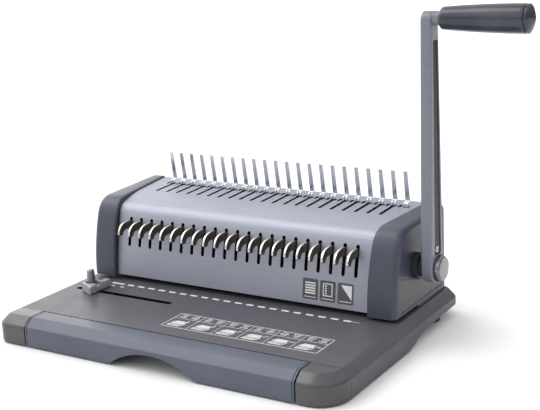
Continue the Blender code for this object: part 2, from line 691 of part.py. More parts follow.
def build_shaft(mat, cam_mat):
    pivot = (PIVOT_Y, PIVOT_Z)
    origin = (0.0, PIVOT_Y, PIVOT_Z)
    profile = [(-183.0, SHAFT_R - 1), (-182.0, SHAFT_R), (LEVER_OUT - 1, SHAFT_R)]
    add_object("main_shaft", turned(profile, X_AXIS, pivot, 24), mat, origin)
    ring = [(-182.0, SHAFT_R + GAP), (-182.0, 11.0), (-175.0, 11.0), (-175.0, SHAFT_R + GAP)]
    add_object("shaft_collar", turned_ring(ring, X_AXIS, pivot, 24), mat, origin)

    def build(side, flip):
        bore = [(100.0, SHAFT_R + GAP), (180.0, SHAFT_R + GAP)]
        cam = prism(punch_cam_outline(), X_AXIS, CAM_X, CAM_X + CAM_T)
        cam = add_object("punch_cam_" + side, flip(cam), cam_mat, origin)
        cut(cam, flip(turned(bore, X_AXIS, pivot, 24)), "cam_bore_" + side)
        disc = turned([(SCROLL_X, SCROLL_R), (SCROLL_X + SCROLL_T, SCROLL_R)], X_AXIS, pivot, 36)
        disc = add_object("scroll_cam_" + side, flip(disc), cam_mat, origin)
        openings = turned(bore, X_AXIS, pivot, 24)
        prism(slot_outline(scroll_path(), PIN_SLOT), X_AXIS, 150.0, 180.0, openings)
        cut(disc, flip(openings), "scroll_slot_" + side)
    each_side(build)


def hook_outline():
    """One hook from its root behind the cover to its tip: a tapered, curled finger."""
    spine = [(141.0, 90.0)] + curve((132.0, 90.6), (112.5, 94.5), (111.4, 83.6), 5)
    spine.insert(1, (132.0, 90.6))
    upper, lower = [], []
    last = len(spine) - 1
    for i, point in enumerate(spine):
        share = max(0.0, (i - 1) / (last - 1))
        half = HOOK_ROOT - (HOOK_ROOT - HOOK_TIP) * share ** 0.8
        along = (Vector(spine[min(i + 1, last)]) - Vector(spine[max(i - 1, 0)])).normalized()
        across = Vector((along.y, -along.x)) * half
        upper.append(tuple(Vector(point) + across))
        lower.append(tuple(Vector(point) - across))
    tip = curve(upper[-1], tuple(Vector(spine[-1]) + Vector((0.2, -3.4))), lower[-1], 2)[:-1]
    return upper + tip + list(reversed(lower))


def build_hook_bar(mat):
    reach = HOOK_SPREAD + 0.2
    bar = box((-reach, 138.0, 77.0), (reach, 140.6, 97.5))
    origin = (0.0, HOOK_PIN[0], HOOK_PIN[1])
    bar = add_object("hook_bar", bar, mat, origin)
    hooks = bmesh.new()
    for x in HOLE_X:
        prism(hook_outline(), X_AXIS, x - HOOK_T / 2, x + HOOK_T / 2, hooks)
    weld(bar, hooks, "hooks")
    arms = bmesh.new()
    outline = [(138.5, 79.0), (141.5, 79.0), (147.0, 101.5), (177.0, 101.5), (177.0, 111.0),
               (158.0, 111.0), (138.5, 96.5)]
    for sign in (-1, 1):
        low, high = sorted((sign * (HOOK_SPREAD - 2.6), sign * HOOK_SPREAD))
        prism(outline, X_AXIS, low, high, arms)
    weld(bar, arms, "hook_arms")
    pins = bmesh.new()
    for sign in (-1, 1):
        ends = sorted((sign * (HOOK_SPREAD - 2.0), sign * (SIDE_OUT - GAP)))
        turned([(ends[0], PIN_R), (ends[1], PIN_R)], X_AXIS, HOOK_PIN, 20, pins)
    weld(bar, pins, "follower_pins")


# ---------------------------------------------------------------- lever and grip

def lever_outline():
    hub = (PIVOT_Y - 2.0, PIVOT_Z + 1.0)
    top = (GRIP_Y + 0.2, GRIP_Z - 1.8)
    return (arc(hub, LEVER_HUB_R, 185, 355, 12) + [(177.4, 92.0)]
            + arc(top, LEVER_TOP_R, 0, 180, 10) + [(148.3, 92.0)])


def build_lever(arm_mat, insert_mat, cap_mat):
    pivot = (PIVOT_Y, PIVOT_Z)
    origin = (LEVER_OUT, PIVOT_Y, PIVOT_Z)
    arm = prism(lever_outline(), X_AXIS, LEVER_IN, LEVER_OUT)
    arm = add_object("lever_arm", arm, arm_mat, origin)
    openings = turned([(200.0, SHAFT_R + GAP), (220.0, SHAFT_R + GAP)], X_AXIS, pivot, 24)
    groove = [(158.0, 88.0), (172.4, 88.0), (169.6, 298.0), (158.6, 298.0)]
    prism(groove, X_AXIS, LEVER_OUT - 2.2, LEVER_OUT + 5, openings)
    cut(arm, openings, "lever_openings")

    strip = [(158.6, 88.6), (171.8, 88.6), (169.0, 297.4), (159.2, 297.4)]
    strip = prism(strip, X_AXIS, LEVER_OUT - 1.9, LEVER_OUT - 1.1)
    add_object("lever_insert", strip, insert_mat, origin)
    screw = turned([(LEVER_OUT - 0.8, 3.4), (LEVER_OUT + 0.2, 3.0)], X_AXIS, (163.5, 93.6), 16)
    add_object("lever_screw", screw, SCREW, origin)

    spacer = [(CAP_OUT + GAP, SHAFT_R + GAP), (CAP_OUT + GAP, 13.5), (CAP_OUT + 6, 13.5),
              (CAP_OUT + 6, 10.0), (LEVER_IN - GAP, 10.0), (LEVER_IN - GAP, SHAFT_R + GAP)]
    add_object("hub_spacer", turned_ring(spacer, X_AXIS, pivot, 24), insert_mat, origin)
    boss = [(LEVER_OUT + GAP, 13.2), (LEVER_OUT + 4.6, 13.2), (LEVER_OUT + 5.2, 12.6)]
    add_object("hub_boss", turned(boss, X_AXIS, pivot, 28), arm_mat, origin)
    face = [(LEVER_OUT + 5.5, 11.9), (LEVER_OUT + 6.0, 11.9), (LEVER_OUT + 6.5, 11.2)]
    add_object("hub_cap", turned(face, X_AXIS, pivot, 28), cap_mat, origin)


def build_grip(axle_mat, grip_mat):
    centre = (GRIP_Y, GRIP_Z)
    origin = (GRIP_START, GRIP_Y, GRIP_Z)
    axle = [(LEVER_OUT + GAP, 6.2), (GRIP_START - GAP, 6.2), (GRIP_START - GAP, 5.0), (300.0, 5.0)]
    add_object("grip_axle", turned(axle, X_AXIS, centre, 24), axle_mat, (LEVER_OUT, GRIP_Y, GRIP_Z))
    steps = 5
    outer = []
    for i in range(steps + 1):
        t = i / steps
        swell = GRIP_R_IN + (GRIP_R_OUT - GRIP_R_IN) * (1 - (1 - t) ** 2)
        outer.append((GRIP_START + 1.5 + (GRIP_END - 3.0 - GRIP_START) * t, swell))
    bore = 5.0 + GAP
    profile = [(GRIP_START, bore), (GRIP_START, GRIP_R_IN - 1.5)] + outer
    profile += [(GRIP_END, GRIP_R_OUT - 0.5), (GRIP_END, bore)]
    add_object("grip_sleeve", turned_ring(profile, X_AXIS, centre, 24), grip_mat, origin)
    dome_r = GRIP_R_OUT - 0.3
    height = DOME_END - GRIP_END - 2.0
    dome = [(GRIP_END + GAP, dome_r)]
    for i in range(5):
        angle = math.radians(90 * i / 4)
        radius = dome_r * math.cos(angle) if i < 4 else 0.0
        dome.append((GRIP_END + 2.0 + height * math.sin(angle), radius))
    add_object("grip_end_cap", turned(dome, X_AXIS, centre, 24), grip_mat, origin)


# ---------------------------------------------------------------- edge guide

def build_edge_guide(block_mat, knob_mat):
    floor = BASE_TOP + GAP
    outline = [(-168.0, 63.0), (-165.5, 60.5), (-151.0, 60.5), (-148.5, 63.0), (-148.5, 94.0),
               (-156.0, 94.0), (-156.0, 84.0), (-168.0, 84.0)]
    origin = (GUIDE_X, GUIDE_Y, floor)
    block = add_object("guide_block", prism(outline, Z_AXIS, floor, 37.5), block_mat, origin)
    stem_hole = [(20.0, 1.7), (60.0, 1.7)]
    cut(block, turned(stem_hole, Z_AXIS, (GUIDE_X, GUIDE_Y), 16), "block_hole")
    clamp_top = BASE_TOP - PLATE_T - GAP
    clamp = box((GUIDE_X - 8, GUIDE_Y - 8, 21.5), (GUIDE_X + 8, GUIDE_Y + 8, clamp_top))
    clamp = add_object("guide_clamp", clamp, block_mat, origin)
    cut(clamp, turned(stem_hole, Z_AXIS, (GUIDE_X, GUIDE_Y), 16), "clamp_hole")
    knob = [(22.0, 1.3), (37.8, 1.3), (37.8, 5.4), (50.5, 4.7), (51.7, 3.8)]
    add_object("guide_knob", turned(knob, Z_AXIS, (GUIDE_X, GUIDE_Y), 24), knob_mat, origin)


# ---------------------------------------------------------------- the whole machine

clear_scene()
datum = bpy.data.objects.new("machine_datum", None)
datum.location = DATUM * MM
bpy.context.scene.collection.objects.link(datum)

BASE_GREY = material("base_grey", (0.10, 0.10, 0.105), 0.45)
CORNER_GREY = material("corner_grey", (0.12, 0.12, 0.125), 0.5)
SLATE = material("slate_plastic", (0.13, 0.145, 0.18), 0.45)
CAP_BLUE = material("cap_plastic", (0.07, 0.075, 0.10), 0.35)
SILVER = material("silver_sheet", (0.55, 0.56, 0.60), 0.35, 0.6)
PANEL = material("side_panel_grey", (0.17, 0.17, 0.17), 0.5)
STEEL = material("steel", (0.45, 0.45, 0.46), 0.35, 1.0)
NICKEL = material("nickel", (0.75, 0.73, 0.70), 0.2, 1.0)
ZINC = material("zinc_sheet", (0.50, 0.50, 0.50), 0.45, 1.0)
BUSH = material("bush_bronze", (0.45, 0.30, 0.14), 0.4, 1.0)
SCREW = material("screw_steel", (0.35, 0.35, 0.36), 0.35, 1.0)
RUBBER = material("rubber", (0.02, 0.02, 0.02), 0.8)
TRAY = material("tray_plastic", (0.09, 0.10, 0.12), 0.55)
LEVER = material("lever_paint", (0.22, 0.24, 0.28), 0.35)
INSERT = material("dark_plastic", (0.05, 0.05, 0.06), 0.4)
HUB_FACE = material("hub_face", (0.42, 0.42, 0.42), 0.4)
GRIP = material("grip_plastic", (0.04, 0.045, 0.055), 0.25)
GUIDE_GREY = material("guide_grey", (0.25, 0.26, 0.29), 0.45)

build_base_shell(BASE_GREY)
build_bottom_plate(ZINC)
build_feet(RUBBER)
build_corner_block(CORNER_GREY)
build_drawer(TRAY, SLATE)
build_drawer_screws(SCREW)
build_die_and_guide(STEEL)
build_punches(STEEL)
build_pressure_bar(STEEL)
build_guide_pins(STEEL, SCREW)
build_side_plates(ZINC)
build_tie_bar(STEEL)
build_body_cover(SILVER)
build_end_caps(CAP_BLUE, PANEL)
build_rear_cover(CAP_BLUE)
build_comb_plate(NICKEL)
build_shaft(STEEL, STEEL)
build_hook_bar(NICKEL)
build_lever(LEVER, INSERT, HUB_FACE)
build_grip(STEEL, GRIP)
build_edge_guide(GUIDE_GREY, NICKEL)
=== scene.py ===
"""Looks of a comb binding machine, built around its fixed CAD frame.

Pieces are made in machine millimetres, as in the design: X runs along the row of punches to the
lever, Y to the back and Z up.  X = 0 is the middle of the base, Y = 0 the front edge of its top
plate, Z = 0 the lower edge of the drawer front.
"""
import math

import bmesh
import bpy
from mathutils import Matrix, Vector


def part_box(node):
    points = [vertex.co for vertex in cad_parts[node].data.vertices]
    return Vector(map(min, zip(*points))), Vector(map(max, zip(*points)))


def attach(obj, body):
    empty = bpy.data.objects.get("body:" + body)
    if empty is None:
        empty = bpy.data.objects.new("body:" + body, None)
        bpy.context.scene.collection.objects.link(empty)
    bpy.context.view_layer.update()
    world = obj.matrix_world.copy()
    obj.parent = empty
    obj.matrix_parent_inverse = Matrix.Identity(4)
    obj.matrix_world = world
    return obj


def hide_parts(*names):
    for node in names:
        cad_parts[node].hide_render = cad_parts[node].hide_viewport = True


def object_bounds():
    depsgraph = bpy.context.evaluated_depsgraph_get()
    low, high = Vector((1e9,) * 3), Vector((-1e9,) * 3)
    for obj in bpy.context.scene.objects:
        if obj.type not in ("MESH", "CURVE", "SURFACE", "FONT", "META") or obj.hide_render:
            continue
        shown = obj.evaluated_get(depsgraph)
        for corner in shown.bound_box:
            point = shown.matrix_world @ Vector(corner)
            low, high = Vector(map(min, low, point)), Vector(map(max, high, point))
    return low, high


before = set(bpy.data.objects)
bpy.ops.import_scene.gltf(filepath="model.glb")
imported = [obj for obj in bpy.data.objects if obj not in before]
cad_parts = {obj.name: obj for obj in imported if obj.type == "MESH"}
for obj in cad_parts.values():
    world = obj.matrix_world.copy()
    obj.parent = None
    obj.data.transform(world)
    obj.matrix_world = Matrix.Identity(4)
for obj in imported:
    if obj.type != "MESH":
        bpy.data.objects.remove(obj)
CAD_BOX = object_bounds()

MM = 0.001
X, Y, Z = 0, 1, 2
base_low, base_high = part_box("base_shell")
ORIGIN = Vector(((base_low.x + base_high.x) / 2, base_low.y, base_low.z))


def mm_box(node):
    """Lowest and highest corner of a CAD node in machine millimetres."""
    return tuple((corner - ORIGIN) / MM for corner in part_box(node))


# Comb
PITCH = 25.4 * 9 / 16
HOLES = 21
HOLE_X = [(i - (HOLES - 1) / 2) * PITCH for i in range(HOLES)]
FINGER_X = [HOLE_X[0] + j * PITCH for j in range(HOLES + 1)]

# Base
BASE_HALF, BASE_BACK, BASE_TOP = mm_box("base_shell")[1]
BEVEL_Z, BEVEL_IN = 18.4, 8.4
REAR_R = 16.0
RISE_START, RISE_RUN, RISE_HEIGHT = 118.0, 47.0, 9.5  # the side's lower edge climbs to the rear
THROAT_SLOT = ((-166.0, 150.0), (166.0, 166.0))  # the opening under the punches
CUT_LOW, CUT_HIGH = 20.0, 32.0  # heights that clear the top plate
CORNER_R = {"right": 30.0, "left": 14.0}
CORNER_PLAY, CORNER_WALL = 1.5, 2.4
front_low, front_high = mm_box("drawer_front")
FRONT_Y, DRAWER_HALF, DRAWER_TOP = front_low.y, front_high.x, front_high.z
CHAMFER_Y = -20.0
DRAWER_END_W, DRAWER_SEAM = 2.3, 0.5
ARCH_HALF, ARCH_H = 50.5, 16.6

# Housing
CAP_OUT, CAP_BACK, CAP_TOP = mm_box("end_cap_right")[1]
CAP_LOW = mm_box("end_cap_right")[0].z
THROAT_TOP, THROAT_BACK = 31.3, 168.0
COVER_LOW = mm_box("body_cover")[0].z
COVER_BACK = mm_box("body_cover")[1].y
FACE_Y, FACE_LOW, FACE_TOP = 119.6, 31.2, 104.0  # the cover's front leans back as it rises
FACE_LEAN, FACE_CURVE = 0.1082, 0.0013
CAP_FACE_Y, CAP_FACE_TOP, CAP_FACE_CURVE = 115.3, 97.7, 0.00245
CAP_REAR_Y, CAP_EDGE_R, CAP_WALL = 231.5, 6.5, 2.5
SHEET = 1.2
SEAM_FRONT_X, SEAM_FRONT_Y, SEAM_SLOPE, SEAM_GAP, SEAM_R = 158.5, 117.0, 0.108, 0.3, 2.2

# Openings in the cover's front and top
KEYHOLE_Z, KEYHOLE_SLOT_R, KEYHOLE_R = (68.25, 96.5), 1.95, 2.1
TOP_SLOT_START, TOP_SLOT_R = 182.9, 1.9
FINGER_GAP_Y, FINGER_GAP_HALF = (211.8, 216.8), 3.5
SHORT_SLOT_Y, SHORT_SLOT_R = (212.7, 218.3), 1.7

# Fingers and hooks
FINGER_T, FINGER_LOW_HALF, FINGER_HIGH_HALF, FINGER_SLIT_HALF = 1.2, 2.6, 2.2, 0.8
FINGER_UPRIGHT_Y, FINGER_STEP_Z, FINGER_LEAN = 218.5, 123.8, 0.15
HOOK_ROOT_HALF, HOOK_TAPER, HOOK_HALF_T = 4.9, 1.3, 1.2
HOOK_PIN, HOOK_PIN_R = (170.3, 107.5), 2.5
CARRIAGE_HALF, ARM_IN, ARM_OUT = 162.2, 159.4, 162.0

# Shaft and lever
SHAFT_R, BORE_R = 7.0, 7.3
shaft_low = mm_box("main_shaft")[0]
PIVOT = (shaft_low.y + SHAFT_R, shaft_low.z + SHAFT_R)
LEVER_IN, LEVER_OUT = mm_box("lever_arm")[0].x, mm_box("lever_arm")[1].x
LEVER_HUB_R, LEVER_TOP_R, LEVER_EDGE_R, LEVER_HIP_Z = 15.3, 8.5, 1.7, 92.0
GROOVE_DEPTH, STRIP_LOW, STRIP_HIGH, STRIP_PLAY = 2.2, 1.9, 1.1, 0.7
SPACER_R, SPACER_W, SPACER_NECK_R = 13.5, 5.7, 10.0
BOSS_R, HUB_FACE_R = 12.6, 11.3
grip_low, grip_high = mm_box("grip_sleeve")
GRIP_START, GRIP_END, GRIP_R = grip_low.x, grip_high.x, (grip_high.z - grip_low.z) / 2
GRIP = (grip_low.y + GRIP_R, grip_low.z + GRIP_R)
GRIP_R_IN, GRIP_PIN_R, GRIP_PIN_END = 10.6, 5.0, 300.0
DOME_END = mm_box("grip_end_cap")[1].x
DOME_RIM = GRIP_R - 0.25

# Edge guide
knob_low, knob_high = mm_box("guide_knob")
GUIDE = ((knob_low.x + knob_high.x) / 2, (knob_low.y + knob_high.y) / 2)
GUIDE_SLOT, GUIDE_SLOT_R = (-180.5, -50.5), 3.4
BLOCK_BACK, FENCE_LEFT, FENCE_FRONT = 84.0, -156.0, 80.0
WELL_DEPTH, WELL_R, THROAT_HALF, STEM_R = 3.4, 6.6, 4.2, 1.7
KNOB_FOOT, KNOB_NECK_R = 34.6, 1.3

# Printed marks
PRINT_LOW, PRINT_HIGH = -0.03, 0.07
DASH_Y, DASH_W = 105.0, 3.4
PANEL_X, PANEL_Y, PANEL_SPLIT, PANEL_CELLS = (-22.0, 156.0), (19.0, 55.0), 42.5, 6
LABEL_X, LABEL_Z, LABEL_HALF, LABEL_R = (92.2, 112.3, 132.6), (38.4, 59.6), 8.9, 1.5
LABEL_PROUD, MARK_PROUD, FACE_SINK = 0.08, 0.14, 0.05


# ---------------- mesh helpers

def loft(rings, bm=None):
    """A closed solid through rings that all have the same number of points."""
    bm = bm or bmesh.new()
    rows = [[bm.verts.new(point) for point in ring] for ring in rings]
    for low, high in zip(rows, rows[1:]):
        for i in range(len(low)):
            j = (i + 1) % len(low)
            bm.faces.new((low[i], low[j], high[j], high[i]))
    bm.faces.new(list(reversed(rows[0])))
    bm.faces.new(rows[-1])
    return bm


def lift(point, axis, height):
    """A point of an outline, placed at a height along an axis."""
    coords = list(point)
    coords.insert(axis, height)
    return tuple(coords)


def prism(outline, axis, low, high, bm=None):
    """An outline pushed along an axis."""
    return loft([[lift(p, axis, h) for p in outline] for h in (low, high)], bm)


def box(low, high, bm=None):
    outline = [(low[0], low[1]), (high[0], low[1]), (high[0], high[1]), (low[0], high[1])]
    return prism(outline, Z, low[2], high[2], bm)


def arc(centre, radius, start, end, steps):
    angles = [math.radians(start + (end - start) * i / steps) for i in range(steps + 1)]
    return [(centre[0] + radius * math.cos(a), centre[1] + radius * math.sin(a)) for a in angles]


def curve(start, control, end, steps):
    """Points on a quadratic curve, without its first point."""
    points = []
    for i in range(1, steps + 1):
        t = i / steps
        points.append(tuple((1 - t) ** 2 * a + 2 * t * (1 - t) * b + t * t * c
                            for a, b, c in zip(start, control, end)))
    return points


def soften(points, cut, steps=4, closed=False):
    """The line with each corner replaced by a small curve that starts cut before it."""
    result = [] if closed else [points[0]]
    count = len(points)
    for i in range(0 if closed else 1, count if closed else count - 1):
        corner = Vector(points[i])
        before, after = Vector(points[i - 1]) - corner, Vector(points[(i + 1) % count]) - corner
        reach = min(cut, 0.45 * before.length, 0.45 * after.length)
        first = tuple(corner + before.normalized() * reach)
        last = tuple(corner + after.normalized() * reach)
        result += [first] + curve(first, tuple(corner), last, steps)
    return result if closed else result + [points[-1]]


def inset_outline(points, distance):
    """A closed outline moved inwards by a distance."""
    area = sum(a[0] * b[1] - b[0] * a[1] for a, b in zip(points, points[1:] + points[:1]))
    sign = 1.0 if area > 0 else -1.0
    result = []
    for i, point in enumerate(points):
        before = (Vector(point) - Vector(points[i - 1])).normalized()
        after = (Vector(points[(i + 1) % len(points)]) - Vector(point)).normalized()
        normal_a, normal_b = Vector((-before.y, before.x)), Vector((-after.y, after.x))
        middle = (normal_a + normal_b).normalized()
        stretch = max(0.35, middle.dot(normal_b))
        result.append(tuple(Vector(point) + middle * (sign * distance / stretch)))
    return result


def slab(outline, axis, low, high, radius, steps=4, bm=None):
    """A plate with the given outline whose edges are rounded on both faces."""
    rings = []
    turns = [math.radians(90 * i / steps) for i in range(steps + 1)]
    for face, sign, order in ((low, 1, turns), (high, -1, turns[::-1])):
        for turn in order:
            ring = inset_outline(outline, radius * (1 - math.sin(turn)))
            rings.append([lift(p, axis, face + sign * radius * (1 - math.cos(turn))) for p in ring])
    return loft(rings, bm)


def turned(profile, axis, centre, segments=64, bm=None, bored=False):
    """A turned solid from (place along the axis, radius) pairs; radius 0 is a point.

    A bored one has a hole through it, and its pairs are a closed loop.
    """
    bm = bm or bmesh.new()
    rows = []
    for height, radius in profile:
        if radius == 0.0:
            rows.append([bm.verts.new(lift(centre, axis, height))])
            continue
        ring = arc(centre, radius, 0.0, 360.0 * (segments - 1) / segments, segments - 1)
        rows.append([bm.verts.new(lift(p, axis, height)) for p in ring])
    for low, high in zip(rows, rows[1:] + (rows[:1] if bored else [])):
        for i in range(segments):
            j = (i + 1) % segments
            corners = (low[i % len(low)], low[j % len(low)], high[j % len(high)], high[i % len(high)])
            bm.faces.new(list(dict.fromkeys(corners)))
    for row in (rows[0], rows[-1]):
        if len(row) > 1 and not bored:
            bm.faces.new(row)
    return bm


def carve(bm, cutters=(), weld=(), lined=()):
    """Cut other meshes out of a mesh, or join them to it, with exact Booleans.

    Faces left by the lined cutters take the piece's second material.
    """
    for extra in lined:
        for face in extra.faces:
            face.material_index = 1
    jobs = [(extra, "UNION") for extra in weld]
    jobs += [(extra, "DIFFERENCE") for extra in list(cutters) + list(lined)]
    body = temporary(bm)
    helpers = []
    for extra, operation in jobs:
        helper = temporary(extra)
        helpers.append(helper)
        modifier = body.modifiers.new("job", "BOOLEAN")
        modifier.operation = operation
        modifier.object = helper
    result = bmesh.new()
    result.from_object(body, bpy.context.evaluated_depsgraph_get())
    for obj in [body] + helpers:
        mesh = obj.data
        bpy.data.objects.remove(obj)
        bpy.data.meshes.remove(mesh)
    return result


def as_object(name, bm, *materials):
    """Put a mesh into the scene as an object."""
    mesh = bpy.data.meshes.new(name)
    bm.to_mesh(mesh)
    bm.free()
    for mat in materials:
        mesh.materials.append(mat)
    obj = bpy.data.objects.new(name, mesh)
    bpy.context.scene.collection.objects.link(obj)
    return obj


def temporary(bm):
    """A helper object, with a second material slot for lined faces."""
    bmesh.ops.recalc_face_normals(bm, faces=bm.faces)
    return as_object("temporary", bm, None, None)


def smooth(mesh, sharp=32):
    """Smooth shading, but for edges sharper than an angle in degrees."""
    mesh.shade_smooth()
    mesh.set_sharp_from_angle(angle=math.radians(sharp))


def piece(name, bm, mat, body, replaces=(), edge=0.0, flip=False, sharp=32, lining=None):
    """Turn a mesh in machine millimetres into a finished piece that rides on a body."""
    for vert in bm.verts:
        if flip:
            vert.co.x = -vert.co.x
        vert.co = vert.co * MM + ORIGIN
    bmesh.ops.recalc_face_normals(bm, faces=bm.faces)
    obj = as_object(name, bm, *([mat, lining] if lining else [mat]))
    smooth(obj.data, sharp)
    if edge:
        bevel = obj.modifiers.new("edge", "BEVEL")
        bevel.width = edge * MM
        bevel.segments = 2
        bevel.limit_method = "ANGLE"
        bevel.angle_limit = math.radians(50)
        bevel.harden_normals = True
    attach(obj, body)
    if replaces:
        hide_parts(*replaces)


# ---------------- materials

class Finish:
    """A procedural material: base colour with variation, worn edges, darker crevices (real grime and painted
    shade), grain and bump.
    """

    def __init__(self, name, colour, rough, metallic=0.0, coat=0.0, specular=0.5):
        self.mat = bpy.data.materials.new(name)
        self.mat.use_nodes = True
        self.tree = self.mat.node_tree
        self.shader = self.tree.nodes["Principled BSDF"]
        for socket, value in (("Metallic", metallic), ("Coat Weight", coat), ("Coat Roughness", 0.12),
                              ("Specular IOR Level", specular)):
            self.shader.inputs[socket].default_value = value
        self.place = self.node("ShaderNodeTexCoord").outputs["Object"]
        self.colour = (*colour, 1.0)
        self.rough = rough
        self.normal = None

    def feed(self, value, socket):
        """Link a socket's source to it, or set it to a constant."""
        if hasattr(value, "links"):
            self.tree.links.new(value, socket)
        else:
            socket.default_value = value

    def node(self, kind, **inputs):
        node = self.tree.nodes.new(kind)
        for name, value in inputs.items():
            self.feed(value, node.inputs[name.replace("_", " ")])
        return node

    def noise(self, scale, detail=4.0, stretch=(1.0, 1.0, 1.0)):
        mapping = self.node("ShaderNodeMapping", Vector=self.place, Scale=stretch)
        noise = self.node("ShaderNodeTexNoise", Vector=mapping.outputs[0], Scale=scale,
                          Detail=detail, Roughness=0.55)
        return noise.outputs["Fac"]

    def span(self, source, low, high, to_low, to_high):
        return self.node("ShaderNodeMapRange", Value=source, From_Min=low, From_Max=high,
                         To_Min=to_low, To_Max=to_high).outputs["Result"]

    def math(self, operation, first, second):
        node = self.tree.nodes.new("ShaderNodeMath")
        node.operation = operation
        self.feed(first, node.inputs[0])
        self.feed(second, node.inputs[1])
        return node.outputs[0]

    def blend(self, share, colour):
        """Mix another colour into the colour so far by a mask."""
        node = self.tree.nodes.new("ShaderNodeMix")
        node.data_type = "RGBA"
        self.tree.links.new(share, node.inputs["Factor"])
        self.feed(self.colour, node.inputs["A"])
        node.inputs["B"].default_value = (*colour, 1.0)
        self.colour = node.outputs["Result"]
        return self

    def vary(self, scale, colour, amount, stretch=(1.0, 1.0, 1.0)):
        """Cloudy variation towards another tone."""
        mask = self.span(self.noise(scale, stretch=stretch), 0.35, 0.7, 0.0, amount)
        return self.blend(mask, colour)

    def roughen(self, scale, amount, stretch=(1.0, 1.0, 1.0)):
        """Uneven gloss."""
        change = self.span(self.noise(scale, stretch=stretch), 0.3, 0.7, -amount, amount)
        self.rough = self.math("ADD", self.rough, change)
        return self

    def wear(self, colour, width, amount):
        """Rubbed edges, broken up by noise."""
        bevel = self.node("ShaderNodeBevel", Radius=width * MM)
        bevel.samples = 4
        flat = self.node("ShaderNodeNewGeometry").outputs["Normal"]
        dot = self.tree.nodes.new("ShaderNodeVectorMath")
        dot.operation = "DOT_PRODUCT"
        self.tree.links.new(bevel.outputs[0], dot.inputs[0])
        self.tree.links.new(flat, dot.inputs[1])
        edge = self.span(dot.outputs["Value"], 0.995, 0.90, 0.0, amount)
        broken = self.span(self.noise(350.0), 0.38, 0.62, 0.15, 1.0)
        return self.blend(self.math("MULTIPLY", edge, broken), colour)

    def dirt_and_shade(self, colour, distance=3.0, amount=0.5):
        """Grime and painted shade: darker where ambient occlusion finds crevices and gaps between parts."""
        hidden = self.node("ShaderNodeAmbientOcclusion", Distance=distance * MM)
        hidden.samples = 4
        mask = self.span(hidden.outputs["AO"], 0.75, 0.2, 0.0, amount)
        return self.blend(mask, colour)

    def bump(self, scale, height, strength=0.5, stretch=(1.0, 1.0, 1.0)):
        node = self.node("ShaderNodeBump", Strength=strength, Distance=height * MM,
                         Height=self.noise(scale, 3.0, stretch))
        if self.normal is not None:
            self.tree.links.new(self.normal, node.inputs["Normal"])
        self.normal = node.outputs["Normal"]
        return self

    def done(self):
        self.feed(self.colour, self.shader.inputs["Base Color"])
        self.feed(self.rough, self.shader.inputs["Roughness"])
        if self.normal is not None:
            self.tree.links.new(self.normal, self.shader.inputs["Normal"])
        return self.mat


# In the materials below, the crevice darkening paints shade as well as grime.
def base_paint():
    finish = Finish("base_paint", (0.077, 0.076, 0.090), 0.40, specular=0.4)
    finish.vary(14.0, (0.091, 0.090, 0.105), 0.6).roughen(30.0, 0.05)
    # Painted shade: this crevice darkening reaches 14 mm and is nearly black, so the plate darkens near the
    # housing and in the throat.
    finish.wear((0.20, 0.20, 0.21), 0.6, 0.35).dirt_and_shade((0.015, 0.015, 0.018), 14.0, 0.75)
    return finish.bump(1500.0, 0.03, 0.35).done()


def corner_plastic():
    finish = Finish("corner_plastic", (0.062, 0.060, 0.067), 0.27)
    finish.vary(20.0, (0.080, 0.078, 0.086), 0.5).roughen(40.0, 0.05)
    finish.wear((0.20, 0.20, 0.20), 0.7, 0.3).dirt_and_shade((0.03, 0.03, 0.03))
    return finish.bump(2200.0, 0.03, 0.4).done()


def slate_plastic():
    finish = Finish("slate_plastic", (0.078, 0.090, 0.124), 0.36, specular=0.38)
    finish.vary(12.0, (0.108, 0.121, 0.153), 0.5).roughen(35.0, 0.05)
    finish.wear((0.24, 0.26, 0.30), 0.6, 0.3).dirt_and_shade((0.03, 0.035, 0.045))
    return finish.bump(2200.0, 0.025, 0.35).done()


def cap_plastic():
    finish = Finish("cap_plastic", (0.060, 0.064, 0.092), 0.34, specular=0.36)
    finish.vary(16.0, (0.064, 0.067, 0.089), 0.5).roughen(30.0, 0.05)
    finish.wear((0.15, 0.16, 0.19), 0.7, 0.15).dirt_and_shade((0.02, 0.02, 0.028))
    return finish.bump(1900.0, 0.02, 0.3).done()


def panel_paint():
    finish = Finish("panel_paint", (0.095, 0.095, 0.095), 0.42, specular=0.35)
    finish.vary(18.0, (0.118, 0.118, 0.117), 0.5).roughen(35.0, 0.06)
    finish.wear((0.26, 0.26, 0.26), 0.5, 0.3).dirt_and_shade((0.06, 0.06, 0.06))
    return finish.bump(1600.0, 0.02, 0.3).done()


def silver_lacquer():
    finish = Finish("silver_lacquer", (0.345, 0.36, 0.425), 0.52, metallic=0.6)
    brushed = (0.03, 1.0, 1.0)
    finish.vary(900.0, (0.285, 0.30, 0.36), 0.5, brushed).vary(9.0, (0.385, 0.40, 0.455), 0.35)
    finish.roughen(700.0, 0.05, brushed).dirt_and_shade((0.16, 0.16, 0.18), 2.0, 0.6)
    return finish.bump(1100.0, 0.012, 0.35, brushed).done()


def nickel(name="nickel", tone=(0.80, 0.77, 0.72), rough=0.17):
    finish = Finish(name, tone, rough, metallic=1.0)
    finish.vary(120.0, tuple(0.84 * channel for channel in tone), 0.5).roughen(260.0, 0.05)
    finish.dirt_and_shade((0.14, 0.12, 0.10), 2.5, 0.7)
    return finish.bump(900.0, 0.01, 0.25).done()


def machined(name="machined_steel", tone=(0.47, 0.47, 0.48)):
    finish = Finish(name, tone, 0.34, metallic=1.0)
    finish.vary(60.0, tuple(0.8 * channel for channel in tone), 0.6).roughen(300.0, 0.08)
    finish.dirt_and_shade((0.05, 0.045, 0.04), 3.0, 0.7)
    return finish.bump(1400.0, 0.01, 0.4, (1.0, 0.1, 1.0)).done()


